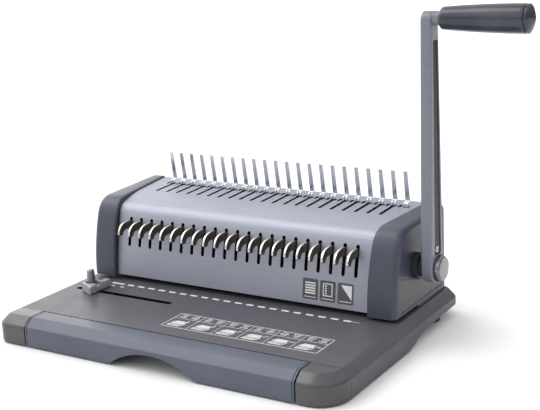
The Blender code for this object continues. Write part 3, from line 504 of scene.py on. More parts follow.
def zinc_sheet():
    finish = Finish("zinc_sheet", (0.52, 0.53, 0.54), 0.42, metallic=1.0)
    finish.vary(45.0, (0.42, 0.43, 0.45), 0.7).roughen(90.0, 0.10)
    return finish.dirt_and_shade((0.10, 0.10, 0.10), 4.0, 0.6).bump(500.0, 0.01, 0.3).done()


def bronze():
    finish = Finish("bush_bronze", (0.46, 0.31, 0.15), 0.4, metallic=1.0)
    return finish.vary(90.0, (0.36, 0.24, 0.12), 0.6).roughen(200.0, 0.08).bump(1200.0, 0.01).done()


def lever_paint():
    finish = Finish("lever_paint", (0.165, 0.177, 0.212), 0.28)
    finish.vary(25.0, (0.175, 0.187, 0.217), 0.25).roughen(45.0, 0.02)
    finish.wear((0.40, 0.42, 0.45), 0.5, 0.08).dirt_and_shade((0.05, 0.05, 0.06))
    return finish.bump(800.0, 0.015, 0.3).done()


def dark_plastic():
    finish = Finish("dark_plastic", (0.030, 0.033, 0.038), 0.42, specular=0.2)
    finish.vary(40.0, (0.042, 0.045, 0.050), 0.6).roughen(60.0, 0.06)
    return finish.wear((0.09, 0.09, 0.10), 0.5, 0.3).bump(1800.0, 0.02, 0.3).done()


def grip_plastic():
    finish = Finish("grip_plastic", (0.022, 0.025, 0.040), 0.20, coat=0.15, specular=0.4)
    finish.vary(30.0, (0.062, 0.066, 0.080), 0.6).roughen(50.0, 0.05)
    return finish.wear((0.14, 0.145, 0.16), 0.5, 0.25).bump(900.0, 0.012, 0.2).done()


def hub_plastic():
    finish = Finish("hub_plastic", (0.33, 0.33, 0.33), 0.38)
    finish.vary(60.0, (0.28, 0.28, 0.28), 0.5).roughen(80.0, 0.06)
    return finish.dirt_and_shade((0.15, 0.15, 0.15)).bump(1500.0, 0.02, 0.3).done()


def guide_paint():
    finish = Finish("guide_paint", (0.31, 0.32, 0.345), 0.40)
    finish.vary(70.0, (0.35, 0.36, 0.385), 0.6).roughen(120.0, 0.06)
    finish.wear((0.50, 0.51, 0.53), 0.5, 0.5).dirt_and_shade((0.04, 0.04, 0.045))
    return finish.bump(1100.0, 0.03, 0.4).done()


def rubber():
    finish = Finish("foot_rubber", (0.022, 0.022, 0.022), 0.75)
    finish.vary(80.0, (0.045, 0.045, 0.043), 0.6).roughen(150.0, 0.08)
    return finish.bump(1300.0, 0.05, 0.5).done()


def tray_plastic():
    finish = Finish("tray_plastic", (0.095, 0.105, 0.125), 0.5)
    finish.vary(22.0, (0.115, 0.125, 0.145), 0.6).roughen(50.0, 0.06)
    return finish.dirt_and_shade((0.03, 0.03, 0.035), 5.0, 0.5).bump(1500.0, 0.03, 0.4).done()


def ink(name, tone):
    """Screen-printed ink, a little uneven."""
    finish = Finish(name, tone, 0.5)
    darker = tuple(channel * 0.8 for channel in tone)
    return finish.vary(700.0, darker, 0.6).roughen(300.0, 0.08).bump(2500.0, 0.01, 0.3).done()


def shadow_black():
    """Matt black for the walls of slots and for what lies behind them."""
    finish = Finish("shadow_black", (0.008, 0.008, 0.009), 0.8, specular=0.1)
    finish.vary(90.0, (0.014, 0.014, 0.015), 0.6).roughen(120.0, 0.05)
    return finish.bump(900.0, 0.02, 0.3).done()


def floor_paper():
    finish = Finish("floor_paper", (0.90, 0.90, 0.90), 0.75)
    return finish.vary(1.5, (0.88, 0.88, 0.885), 0.5).bump(60.0, 0.05, 0.1).done()


BASE_PAINT, CORNER, SLATE, CAP = base_paint(), corner_plastic(), slate_plastic(), cap_plastic()
PANEL, SILVER, NICKEL, STEEL = panel_paint(), silver_lacquer(), nickel(), machined()
ZINC, BRONZE, LEVER, DARK = zinc_sheet(), bronze(), lever_paint(), dark_plastic()
GRIP_PLASTIC, HUB, GUIDE_PAINT, RUBBER = grip_plastic(), hub_plastic(), guide_paint(), rubber()
TRAY, FLOOR = tray_plastic(), floor_paper()
SHADOW = shadow_black()
# Black steel for the inner parts, kept this dark partly as painted shade so the slots and the throat read
# black.
BLACK_STEEL_SHADE = machined("black_steel_shade", (0.06, 0.06, 0.06))
SCREW_STEEL = nickel("screw_steel", (0.55, 0.55, 0.56), 0.28)
FINGER_STEEL = nickel("finger_nickel", (0.60, 0.61, 0.66), 0.20)
# Painted shade: a dark brown copy of the nickel for the flat sides of the hooks.
HOOK_FLANK_SHADE = nickel("hook_flank_shade", (0.19, 0.165, 0.135), 0.42)
KNOB_STEEL = nickel("knob_steel", (0.30, 0.295, 0.31), 0.34)
BOSS_STEEL = nickel("boss_steel", (0.24, 0.25, 0.28), 0.30)
INK_WHITE, INK_DARK = ink("ink_white", (0.78, 0.78, 0.78)), ink("ink_dark", (0.075, 0.077, 0.095))
INK_GREY = ink("ink_grey", (0.30, 0.30, 0.31))


# ---------------- base

def base_plan(inset, front):
    """The base from above, with round rear corners."""
    half, back = BASE_HALF - inset, BASE_BACK - inset
    radius = max(REAR_R - inset, 1.0)
    right = arc((half - radius, back - radius), radius, 0, 90, 14)
    left = arc((radius - half, back - radius), radius, 90, 180, 14)
    return [(half, front)] + right + left + [(-half, front)]


def build_base():
    section = soften([(0.0, 0.0), (0.0, BEVEL_Z), (BEVEL_IN, BASE_TOP), (BEVEL_IN + 4, BASE_TOP)], 1.8, 6)
    rings = [[(x, y, z) for x, y in base_plan(inset, 0.0)] for inset, z in section]
    hollow = [(-1.0, 2.0), (BEVEL_Z - 0.8, 2.0), (BASE_TOP - 1.75, 9.0)]
    inner = [[(x, y, z) for x, y in base_plan(inset, -1.0)] for z, inset in hollow]
    shares = [i / 24 for i in range(25)]
    rise = [(RISE_START + RISE_RUN * t, RISE_HEIGHT * t * t * (3 - 2 * t)) for t in shares]
    below = rise + [(BASE_BACK + 5, RISE_HEIGHT + 1), (BASE_BACK + 5, -5.0), (RISE_START, -5.0)]
    slot = arc((GUIDE_SLOT[1] - GUIDE_SLOT_R, GUIDE[1]), GUIDE_SLOT_R, -90, 90, 12)
    slot += arc((GUIDE_SLOT[0] + GUIDE_SLOT_R, GUIDE[1]), GUIDE_SLOT_R, 90, 270, 12)
    openings = box((*THROAT_SLOT[0], CUT_LOW), (*THROAT_SLOT[1], CUT_HIGH))
    prism(slot, Z, CUT_LOW, CUT_HIGH, openings)
    under = prism(below, X, -BASE_HALF - 5, BASE_HALF + 5)
    shell = carve(loft(rings), [loft(inner), under], lined=[openings])
    piece("base_cover", shell, BASE_PAINT, "frame", ["base_shell"], edge=0.3, lining=SHADOW)


def corner_ring(side_in, z, radius, wall=0.0):
    """A corner block's outline at a height, moved in from the side and the front."""
    front_in = side_in * (CHAMFER_Y - FRONT_Y) / BEVEL_IN
    centre_x, centre_y = BASE_HALF - radius, FRONT_Y + radius
    rx, ry = max(radius - side_in - wall, 0.4), max(radius - front_in - wall, 0.4)
    quarter = [(centre_x + rx * math.cos(a), centre_y + ry * math.sin(a))
               for a in (math.radians(-90 + 90 * i / 22) for i in range(23))]
    inner_x = DRAWER_HALF + CORNER_PLAY + wall
    back = 1.0 if wall else -0.5
    plan = [(inner_x, centre_y - ry)] + quarter + [(centre_x + rx, back), (inner_x, back)]
    return [(x, y, z) for x, y in plan]


def build_corners():
    for side, flip in (("right", False), ("left", True)):
        section = soften([(0.0, 0.0), (0.0, BEVEL_Z + 0.8), (BEVEL_IN, BASE_TOP),
                          (BEVEL_IN + 3.5, BASE_TOP)], 2.6, 7)
        radius = CORNER_R[side]
        outer = loft([corner_ring(inset, z, radius) for inset, z in section])
        inner = loft([corner_ring(0.0, -1.0, radius, CORNER_WALL),
                      corner_ring(0.0, BEVEL_Z, radius, CORNER_WALL),
                      corner_ring(BEVEL_IN, BASE_TOP - CORNER_WALL, radius, 2.0)])
        piece("corner_" + side, carve(outer, [inner]), CORNER, "frame", ["corner_block_" + side],
              edge=0.5, flip=flip)


def build_feet():
    for place in ("front_left", "front_right", "rear_left", "rear_right"):
        low, high = mm_box("foot_" + place)
        centre, radius = ((low.x + high.x) / 2, (low.y + high.y) / 2), (high.x - low.x) / 2
        profile = [(low.z + 0.9, 0.0), (low.z + 0.9, 4.0), (low.z, 4.4), (low.z, radius - 1.2)]
        profile += [(low.z + 0.35, radius - 0.35), (low.z + 1.2, radius), (high.z, radius)]
        piece("rubber_foot_" + place, turned(profile, Z, centre, 48), RUBBER, "frame", ["foot_" + place])


# ---------------- drawer

def drawer_outline():
    """The section of the bar across the drawer's front."""
    wall = 2.6
    outer = soften([(FRONT_Y, 0.0), (FRONT_Y, 20.1), (CHAMFER_Y, DRAWER_TOP), (-0.9, DRAWER_TOP),
                    (-0.9, BASE_TOP - wall)], 1.6, 5)
    return outer + [(CHAMFER_Y + 1.0, BASE_TOP - wall), (FRONT_Y + wall, 18.9), (FRONT_Y + wall, 0.0)]


def build_drawer():
    radius = (ARCH_HALF ** 2 + ARCH_H ** 2) / (2 * ARCH_H)
    bar_end = DRAWER_HALF - DRAWER_END_W
    arch = turned([(-40.0, radius), (-20.0, radius)], Y, (0.0, ARCH_H - radius), 360)
    bar = carve(prism(drawer_outline(), X, -bar_end, bar_end), [arch])
    piece("drawer_bar", bar, SLATE, "drawer", ["drawer_front"], edge=0.35)
    for side, sign in (("left", -1), ("right", 1)):
        low, high = sorted((sign * (bar_end + DRAWER_SEAM), sign * DRAWER_HALF))
        end = prism(drawer_outline(), X, low, high)
        piece("drawer_bar_end_" + side, end, SLATE, "drawer", (), edge=0.3)


# ---------------- housing

def cover_front_y(z):
    rise = z - FACE_LOW
    return FACE_Y + FACE_LEAN * rise + FACE_CURVE * rise ** 2


def cover_path(inset):
    """The cover's section from its front lower edge over the top to its rear edge."""
    steps, rise = 12, FACE_TOP - COVER_LOW
    heights = [COVER_LOW + rise * i / steps for i in range(steps + 1)]
    front = [(cover_front_y(z) + inset, z) for z in heights]
    shoulder = (146.5, 112.9 - inset)
    nose = curve(front[-1], (138.4 + inset * 0.6, 111.9 - inset * 0.8), shoulder, 14)
    top = curve(shoulder, (165.0, 116.9 - inset), (180.0, 117.4 - inset), 8)
    return front + nose + top + [(COVER_BACK, 119.4 - inset)]


def seam_x(y):
    """Where the cover meets an end cap."""
    return SEAM_FRONT_X + (y - SEAM_FRONT_Y) * SEAM_SLOPE


def build_cover():
    ring = cover_path(0.0) + list(reversed(cover_path(SHEET)))
    sheet = loft([[(sign * (seam_x(y) - SEAM_GAP), y, z) for y, z in ring] for sign in (-1, 1)])
    keyholes, slots = bmesh.new(), bmesh.new()
    for x in HOLE_X:
        outline = arc((x, KEYHOLE_Z[0]), KEYHOLE_SLOT_R, 180, 360, 10)
        outline += arc((x, KEYHOLE_Z[1]), KEYHOLE_R, -20, 200, 16)
        prism(outline, Y, 112.0, 142.0, keyholes)
    front, back = FINGER_GAP_Y
    for x in FINGER_X:
        left, right = x - FINGER_GAP_HALF, x + FINGER_GAP_HALF
        outline = [(right, front), (right, back), (left, back), (left, front)]
        if x <= HOLE_X[-1]:
            outline += [(x - TOP_SLOT_R, front)] + arc((x, TOP_SLOT_START), TOP_SLOT_R, 180, 360, 10)
            outline += [(x + TOP_SLOT_R, front)]
        prism(outline, Z, 108.0, 124.0, slots)
        middle = x - PITCH / 2
        short = arc((middle, SHORT_SLOT_Y[0]), SHORT_SLOT_R, 180, 360, 8)
        short += arc((middle, SHORT_SLOT_Y[1]), SHORT_SLOT_R, 0, 180, 8)
        prism(short, Z, 108.0, 124.0, slots)
    cover = carve(sheet, lined=[keyholes, slots])
    piece("housing_cover", cover, SILVER, "frame", ["body_cover"], edge=0.22, lining=SHADOW)


def cap_path(inset, bottom, gap_top):
    """An end cap's section; gap_top is its edge above the throat that the paper slides into."""
    front = []
    for i in range(15):
        z = gap_top + (CAP_FACE_TOP - gap_top) * i / 14
        front.append((CAP_FACE_Y + inset + CAP_FACE_CURVE * (z - THROAT_TOP) ** 2, z))
    nose = curve(front[-1], (132.5 + inset * 0.5, 117.6 - inset), (149.4, 118.1 - inset), 16)
    back, rear_top = CAP_BACK - inset, CAP_TOP - inset
    rear = [(CAP_REAR_Y, rear_top)] + curve((CAP_REAR_Y, rear_top), (back, rear_top), (back, 111.5), 8)
    return front + nose + rear + [(back, bottom), (THROAT_BACK, bottom), (THROAT_BACK, gap_top)]


def panel_outline(inset):
    """The lighter lower part of an end."""
    return [(129.0 + inset, 34.0 + inset), (129.0 + inset, 69.0 - inset), (150.0, 64.5 - inset),
            (168.0, 58.0 - inset), (228.0 - inset, 58.0 - inset), (228.0 - inset, 34.0 + inset)]


def cap_solid():
    """An end cap before it is hollowed: a small round at the seam and a large one at the end."""
    rings = []
    for i in range(7):
        turn = math.radians(15 * i)
        inset, step = SEAM_R * (1 - math.sin(turn)), SEAM_R * (1 - math.cos(turn))
        path = cap_path(inset, CAP_LOW, THROAT_TOP)
        rings.append([(seam_x(y) + SEAM_GAP + step, y, z) for y, z in path])
    for i in range(11):
        turn = math.radians(9 * i)
        x = CAP_OUT - CAP_EDGE_R + CAP_EDGE_R * math.sin(turn)
        path = cap_path(CAP_EDGE_R * (1 - math.cos(turn)), CAP_LOW, THROAT_TOP)
        rings.append([(x, y, z) for y, z in path])
    return loft(rings)


def cap_hollow():
    """The inside of an end cap, with a lip left at the seam."""
    bottom, gap_top = CAP_LOW - 3, THROAT_TOP - 6
    lip = cap_path(5.5, bottom, gap_top)
    wall = cap_path(CAP_WALL, bottom, gap_top)
    shoulder = cap_path(CAP_EDGE_R, bottom, gap_top)
    return loft([[(150.0, y, z) for y, z in lip],
                 [(seam_x(y) + 2.0, y, z) for y, z in lip],
                 [(seam_x(y) + 2.1, y, z) for y, z in wall],
                 [(CAP_OUT - CAP_EDGE_R, y, z) for y, z in wall],
                 [(CAP_OUT - CAP_WALL, y, z) for y, z in shoulder]])


def build_caps():
    for side, flip in (("right", False), ("left", True)):
        cutters = [cap_hollow(), prism(panel_outline(0.0), X, CAP_OUT - 6, CAP_OUT + 6)]
        if side == "right":
            cutters.append(turned([(CAP_OUT - 8, 9.5), (CAP_OUT + 8, 9.5)], X, PIVOT, 48))
        piece("cap_" + side, carve(cap_solid(), cutters), CAP, "frame", ["end_cap_" + side],
              edge=0.35, flip=flip)
        panel = slab(soften(panel_outline(0.3), 1.5, 4, True), X, CAP_OUT - 2.2, CAP_OUT - 0.2, 0.4)
        piece("lower_panel_" + side, panel, PANEL, "frame", ["side_panel_" + side],
              flip=flip)


def build_rear():
    low, high = mm_box("rear_cover")
    outline = soften([(low.x, low.z), (high.x, low.z), (high.x, high.z), (low.x, high.z)], 3.0, 5, True)
    sheet = slab(outline, Y, low.y, high.y, 0.6)
    left, right, bottom, top = low.x + 22, high.x - 22, low.z + 8, high.z - 8
    groove_out = soften([(left, bottom), (right, bottom), (right, top), (left, top)], 6.0, 8, True)
    groove = prism(groove_out, Y, high.y - 0.7, high.y + 2)
    island = slab(inset_outline(groove_out, 2.2), Y, high.y - 3, high.y + 3, 0.1)
    piece("rear_panel", carve(sheet, [carve(groove, [island])]), CAP, "frame", ["rear_cover"],
          edge=0.25)
    for number in range(1, 5):
        name = "rear_screw_%d" % number
        low, high = mm_box(name)
        screw(name + "_head", Y, ((low.x + high.x) / 2, (low.z + high.z) / 2), low.y, high.y,
              (high.x - low.x) / 2, "frame", name)


def screw(name, axis, centre, low, high, radius, body, node):
    """A pan-head screw with a cross recess in its outer face."""
    height = high - low
    profile = [(low, radius), (low + height * 0.25, radius), (low + height * 0.7, radius * 0.86),
               (low + height * 0.93, radius * 0.6), (high, radius * 0.3), (high, 0.0)]
    cross = []
    a, b = centre
    for along, across in ((radius * 0.55, radius * 0.13), (radius * 0.13, radius * 0.55)):
        outline = [(a - along, b - across), (a + along, b - across), (a + along, b + across),
                   (a - along, b + across)]
        cross.append(prism(outline, axis, high - height * 0.55, high + 2))
    head = carve(turned(profile, axis, centre, 32), cross)
    piece(name, head, SCREW_STEEL, body, [node])


# ---------------- comb fingers and hooks

def build_fingers():
    """Bent fingers; the lug at the foot of each has a slit ahead of the slot in the cover."""
    low, high = mm_box("comb_plate")
    step, root, middle = FINGER_STEP_Z, low.y, FINGER_T / 2
    strip = box((low.x, root, low.z), (high.x, root + FINGER_T, 112.0))
    lean = FINGER_LEAN * (high.z - step)
    upright = FINGER_UPRIGHT_Y + middle
    spine = soften([(root + middle, 110.0), (root + middle, step - middle), (upright, step - middle),
                    (upright - lean, high.z)], 2.2, 6)
    strips, slits = bmesh.new(), bmesh.new()
    for x in FINGER_X:
        finger_along(spine, x, step + 4, high.z, strips)
        if x <= HOLE_X[-1]:
            left, right = x - FINGER_SLIT_HALF, x + FINGER_SLIT_HALF
            box((left, root - 2, 116.0), (right, root + 2.6, step - 0.4), slits)
    fingers = carve(strip, weld=[strips], lined=[slits])
    piece("comb_fingers", fingers, FINGER_STEEL, "frame", ["comb_plate"], edge=0.22, lining=SHADOW)


def finger_along(spine, x, taper_from, taper_to, bm):
    """A bent strip that narrows between two heights."""
    rings = []
    for i, point in enumerate(spine):
        before, after = Vector(spine[max(i - 1, 0)]), Vector(spine[min(i + 1, len(spine) - 1)])
        along = (after - before).normalized()
        across = Vector((-along.y, along.x)) * FINGER_T / 2
        share = min(max((point[1] - taper_from) / (taper_to - taper_from), 0.0), 1.0)
        half = FINGER_LOW_HALF + (FINGER_HIGH_HALF - FINGER_LOW_HALF) * share
        front, rear = Vector(point) + across, Vector(point) - across
        rings.append([(x - half, front.x, front.y), (x + half, front.x, front.y),
                      (x + half, rear.x, rear.y), (x - half, rear.x, rear.y)])
    return loft(rings, bm)


def hook_outline():
    """A hook from its root behind the cover to its tip: a tapered, curled finger."""
    spine = [(141.0, 90.0), (132.0, 90.6)] + curve((132.0, 90.6), (112.5, 94.5), (111.4, 83.6), 14)
    upper, lower = [], []
    last = len(spine) - 1
    for i, point in enumerate(spine):
        share = max(0.0, (i - 1) / (last - 1))
        half = HOOK_ROOT_HALF - HOOK_TAPER * share ** 0.9
        along = (Vector(spine[min(i + 1, last)]) - Vector(spine[max(i - 1, 0)])).normalized()
        across = Vector((along.y, -along.x)) * half
        upper.append(tuple(Vector(point) + across))
        lower.append(tuple(Vector(point) - across))
    tip = curve(upper[-1], tuple(Vector(spine[-1]) + Vector((0.2, -3.2))), lower[-1], 8)[:-1]
    return upper + tip + list(reversed(lower))


def build_hooks():
    hooks = bmesh.new()
    for x in HOLE_X:
        slab(hook_outline(), X, x - HOOK_HALF_T, x + HOOK_HALF_T, 0.45, 3, hooks)
    # The flat sides of the hooks take the dark brown nickel as painted shade; the edges keep the bright
    # nickel.
    hooks.normal_update()
    for face in hooks.faces:
        if abs(face.normal.x) > 0.85:
            face.material_index = 1
    piece("comb_hooks", hooks, NICKEL, "hooks", ["hook_bar"], sharp=50, lining=HOOK_FLANK_SHADE)
    # The carriage behind the slots is black steel, partly as painted shade so the slots read black.
    bar = box((-CARRIAGE_HALF, 138.0, 77.0), (CARRIAGE_HALF, 140.6, 97.5))
    pin_end = mm_box("hook_bar")[1].x
    arms, pins = bmesh.new(), bmesh.new()
    outline = [(138.5, 79.0), (141.5, 79.0), (147.0, 101.5), (177.0, 101.5), (177.0, 111.0),
               (158.0, 111.0), (138.5, 96.5)]
    for sign in (-1, 1):
        inner, outer = sorted((sign * ARM_IN, sign * ARM_OUT))
        prism(outline, X, inner, outer, arms)
        ends = sorted((sign * (ARM_IN + 0.6), sign * pin_end))
        turned([(x, HOOK_PIN_R) for x in ends], X, HOOK_PIN, 32, pins)
    carriage = carve(bar, weld=[arms, pins])
    piece("hook_carriage", carriage, BLACK_STEEL_SHADE, "hooks", (), edge=0.3)


# ---------------- lever and grip

def lever_outline():
    hub, top = (PIVOT[0] - 2.0, PIVOT[1] + 1.0), (GRIP[0] + 0.2, GRIP[1] - 1.8)
    return (arc(hub, LEVER_HUB_R, 185, 355, 36) + [(177.4, LEVER_HIP_Z)]
            + arc(top, LEVER_TOP_R, 0, 180, 24) + [(148.3, LEVER_HIP_Z)])


def build_lever():
    arm = slab(lever_outline(), X, LEVER_IN, LEVER_OUT, LEVER_EDGE_R, 6)
    groove = soften([(158.0, 88.0), (172.4, 88.0), (169.6, 298.0), (158.6, 298.0)], 3.0, 6, True)
    cutters = [turned([(200.0, BORE_R), (220.0, BORE_R)], X, PIVOT, 48),
               prism(groove, X, LEVER_OUT - GROOVE_DEPTH, LEVER_OUT + 5)]
    piece("lever_bar", carve(arm, cutters), LEVER, "lever", ["lever_arm"], edge=0.45)
    strip = slab(inset_outline(groove, STRIP_PLAY), X, LEVER_OUT - STRIP_LOW, LEVER_OUT - STRIP_HIGH, 0.2, 2)
    piece("lever_groove_strip", strip, DARK, "lever", ["lever_insert"])
    low, high = mm_box("lever_screw")
    screw("lever_screw_head", X, ((low.y + high.y) / 2, (low.z + high.z) / 2), low.x, high.x + 0.4,
          (high.z - low.z) / 2, "lever", "lever_screw")


def build_hub():
    start, end = CAP_OUT + 0.3, LEVER_IN - 0.3
    step = start + SPACER_W
    spacer = [(start, BORE_R), (start, SPACER_R - 0.6), (start + 0.6, SPACER_R), (step - 0.6, SPACER_R),
              (step, SPACER_R - 0.6), (step, SPACER_NECK_R), (end, SPACER_NECK_R), (end, BORE_R)]
    piece("hub_spacer_ring", turned(spacer, X, PIVOT, bored=True), DARK, "lever", ["hub_spacer"])
    low, high = mm_box("hub_boss")
    boss = [(low.x, BOSS_R), (high.x - 0.9, BOSS_R), (high.x - 0.3, BOSS_R - 0.3), (high.x, BOSS_R - 0.8)]
    piece("hub_side", turned(boss, X, PIVOT), BOSS_STEEL, "lever", ["hub_boss"])
    low, high = mm_box("hub_cap")
    face = [(low.x, HUB_FACE_R), (low.x + 0.5, HUB_FACE_R), (high.x - 0.3, HUB_FACE_R - 0.6), (high.x, 8.0),
            (high.x, 0.0)]
    piece("hub_face", turned(face, X, PIVOT), HUB, "lever", ["hub_cap"])
    ring = [(LEVER_OUT + 0.05, 12.8), (LEVER_OUT + 0.05, 13.9), (LEVER_OUT + 0.3, 13.9),
            (LEVER_OUT + 0.5, 13.6), (LEVER_OUT + 0.5, 12.8)]
    piece("hub_rim", turned(ring, X, PIVOT, bored=True), DARK, "lever", ())


def build_grip():
    neck = [(LEVER_OUT - 0.6, 6.9), (LEVER_OUT + 0.6, 6.75), (LEVER_OUT + 3.5, 6.7),
            (GRIP_START - 0.3, 6.7), (GRIP_START - 0.3, GRIP_PIN_R), (GRIP_PIN_END, GRIP_PIN_R)]
    piece("grip_stub", turned(neck, X, GRIP), LEVER, "lever", ["grip_axle"])
    steps, length = 28, GRIP_END - GRIP_START
    outer = []
    for i in range(steps + 1):
        t = i / steps
        swell = GRIP_R_IN + (GRIP_R - GRIP_R_IN) * (1 - (1 - t) ** 2)
        outer.append((GRIP_START + 2.2 + (length - 3.6) * t, swell))
    bore = GRIP_PIN_R + 0.3
    start = [(GRIP_START, bore), (GRIP_START, 7.6), (GRIP_START + 0.3, 8.7), (GRIP_START + 0.9, 9.7)]
    end = [(GRIP_END - 0.9, GRIP_R - 0.1), (GRIP_END - 0.2, GRIP_R - 0.5), (GRIP_END, GRIP_R - 1.0),
           (GRIP_END, bore)]
    piece("grip_handle", turned(start + outer + end, X, GRIP, 96, bored=True), GRIP_PLASTIC,
          "grip", ["grip_sleeve"], sharp=40)
    swell_start = GRIP_END + 2.2
    dome = [(GRIP_END + 0.3, DOME_RIM - 0.6), (GRIP_END + 0.6, DOME_RIM), (swell_start, DOME_RIM)]
    for i in range(1, 12):
        t = i / 11
        dome.append((swell_start + (DOME_END - swell_start) * t ** 0.72, DOME_RIM * (1 - t)))
    piece("grip_dome", turned(dome, X, GRIP, 96), GRIP_PLASTIC, "grip", ["grip_end_cap"],
          sharp=40)


# ---------------- edge guide

def build_guide():
    low, high = mm_box("guide_block")
    side = soften([(low.y, low.z), (low.y, high.z - 1.0), (low.y + 5, high.z), (BLOCK_BACK, high.z),
                   (BLOCK_BACK, low.z)], 2.4, 6)
    block = slab(side, X, low.x, high.x, 1.2)
    fence = [(FENCE_LEFT, FENCE_FRONT), (high.x, FENCE_FRONT), (high.x, high.y), (FENCE_LEFT, high.y)]
    tail = slab(soften(fence, 1.6, 5, True), Z, low.z, high.z - 1.2, 1.0)
    well = turned([(high.z - WELL_DEPTH, WELL_R), (high.z + 5, WELL_R)], Z, GUIDE, 40)
    throat = box((GUIDE[0], GUIDE[1] - THROAT_HALF, high.z - WELL_DEPTH),
                 (-140.0, GUIDE[1] + THROAT_HALF, high.z + 5))
    stem = turned([(20.0, STEM_R), (60.0, STEM_R)], Z, GUIDE, 24)
    corner = prism([(low.x - 1, low.y + 8.5), (high.x - 1.5, low.y - 0.4), (high.x - 1.5, low.y - 5),
                    (low.x - 1, low.y - 5)], Z, 20.0, 50.0)
    block = carve(block, [well, throat, stem, corner], [tail])
    piece("guide_casting", block, GUIDE_PAINT, "guide", ["guide_block"], edge=0.3)
    bottom, top = knob_low.z, knob_high.z
    knob = [(bottom, 0.9), (bottom + 0.5, KNOB_NECK_R), (KNOB_FOOT, KNOB_NECK_R), (KNOB_FOOT, 4.7),
            (35.0, 5.0), (39.0, 4.9), (49.6, 4.2), (50.9, 3.9), (51.5, 3.3), (top, 2.5), (top, 0.0)]
    piece("guide_clamp_knob", turned(knob, Z, GUIDE, 48), KNOB_STEEL, "knob", ["guide_knob"])


# ---------------- print

def print_bar(centre, along, across, bm, turn=0.0):
    """A flat printed mark on the base plate."""
    c, s = math.cos(turn), math.sin(turn)
    corners = []
    for a, b in ((-1, -1), (1, -1), (1, 1), (-1, 1)):
        dx, dy = a * along / 2, b * across / 2
        corners.append((centre[0] + dx * c - dy * s, centre[1] + dx * s + dy * c))
    prism(corners, Z, BASE_TOP + PRINT_LOW, BASE_TOP + PRINT_HIGH, bm)


def print_outline(points, width, bm):
    """A closed printed line."""
    for first, second in zip(points, points[1:] + points[:1]):
        middle = ((first[0] + second[0]) / 2, (first[1] + second[1]) / 2)
        length = math.dist(first, second) + width
        print_bar(middle, length, width, bm, math.atan2(second[1] - first[1], second[0] - first[0]))


def build_dashes():
    """A row of marks ahead of the punches: a long one at the left and a grey one at the right."""
    marks, end = bmesh.new(), bmesh.new()
    print_bar((HOLE_X[0] - 3.5, DASH_Y), 17.0, DASH_W, marks)
    for x in (-147.0, -134.5):
        print_bar((x, 96.5), 4.5, 2.2, marks)
    for x in HOLE_X[1:]:
        print_bar((x, DASH_Y), 8.4, DASH_W, marks)
    piece("printed_scale", marks, INK_WHITE, "frame", ())
    print_bar((HOLE_X[-1] + 9.0, DASH_Y), 9.0, 2.4, end)
    piece("printed_scale_end", end, INK_GREY, "frame", ())


def icon(x, y, lever_turn, bm):
    """A small picture of the machine: base, housing and lever."""
    print_outline([(x - 8, y - 6), (x + 7, y - 6), (x + 10, y + 1), (x - 5, y + 1)], 1.0, bm)
    for row in range(3):
        print_bar((x - 0.4 + row * 0.9, y - 4.4 + row * 1.9), 12.0, 0.9, bm)
        print_bar((x + 0.8 + row * 0.8, y + 2.4 + row * 1.8), 15.5 - 1.5 * row, 1.35, bm)
    reach = 6.5
    print_bar((x + 10 + math.cos(lever_turn) * reach / 2, y + 4 + math.sin(lever_turn) * reach / 2),
              reach, 1.0, bm, lever_turn)


def build_panel_print():
    """The instruction panel: a frame, a header of small cells and six pictures."""
    lines = bmesh.new()
    (left, right), (low, high) = PANEL_X, PANEL_Y
    print_outline([(left, low), (right, low), (right, high), (left, high)], 0.7, lines)
    print_bar(((left + right) / 2, PANEL_SPLIT), right - left, 0.5, lines)
    width = (right - left) / PANEL_CELLS
    for i in range(1, PANEL_CELLS):
        print_bar((left + width * i, (low + high) / 2), 0.5, high - low, lines)
    for i in range(PANEL_CELLS):
        middle = left + width * (i + 0.5)
        icon(middle - 3, 29.0, math.radians(100 - 22 * i), lines)
        for column in range(2):
            for row in range(3):
                length = 9.0 - 1.7 * ((i + 2 * row + column) % 3)
                print_bar((middle - 7 + 14 * column, 46.0 + 3.0 * row), length, 1.0, lines)
    piece("printed_steps", lines, INK_WHITE, "frame", ())


def face_plate(low, high, left, right, proud, bm, steps=8):
    """A thin plate that follows the cover's front; left and right give its sides at each height."""
    rings = []
    for i in range(steps + 1):
        z = low + (high - low) * i / steps
        front, back = cover_front_y(z) - proud, cover_front_y(z) + FACE_SINK
        rings.append([(left(z), front, z), (right(z), front, z), (right(z), back, z), (left(z), back, z)])
    loft(rings, bm)


def bar_plate(x0, z0, x1, z1, bm):
    """An upright printed bar on the cover's front."""
    face_plate(z0, z1, lambda z: x0, lambda z: x1, MARK_PROUD, bm, 5)


def build_labels():
    """Three dark tiles with plain pictures: a stack, a punched sheet and a page corner."""
    tiles, marks = bmesh.new(), bmesh.new()
    low, high = LABEL_Z

    def half_at(z):
        depth = max(0.0, LABEL_R - min(z - low, high - z))
        return LABEL_HALF - LABEL_R + math.sqrt(max(LABEL_R ** 2 - depth ** 2, 0.04))

    for x in LABEL_X:
        face_plate(low, high, lambda z: x - half_at(z), lambda z: x + half_at(z), LABEL_PROUD, tiles, 56)
        bar_plate(x - 6.8, 40.6, x + 6.8, 41.3, marks)
    for row in range(5):
        bar_plate(86.2, 44.2 + 2.6 * row, 98.2, 45.7 + 2.6 * row, marks)
    for bottom in (43.8, 56.0):
        bar_plate(106.8, bottom, 117.8, bottom + 1.0, marks)
    for left in (106.8, 116.8):
        bar_plate(left, 44.9, left + 1.0, 55.9, marks)
    for row in range(4):
        bar_plate(109.4, 45.9 + 2.5 * row, 111.2, 47.4 + 2.5 * row, marks)
    corner = 139.6
    face_plate(43.4, 57.4, lambda z: corner - (z - 43.0) * 0.86, lambda z: corner, MARK_PROUD, marks)
    piece("label_tiles", tiles, INK_DARK, "frame", ())
    piece("label_pictures", marks, INK_WHITE, "frame", ())


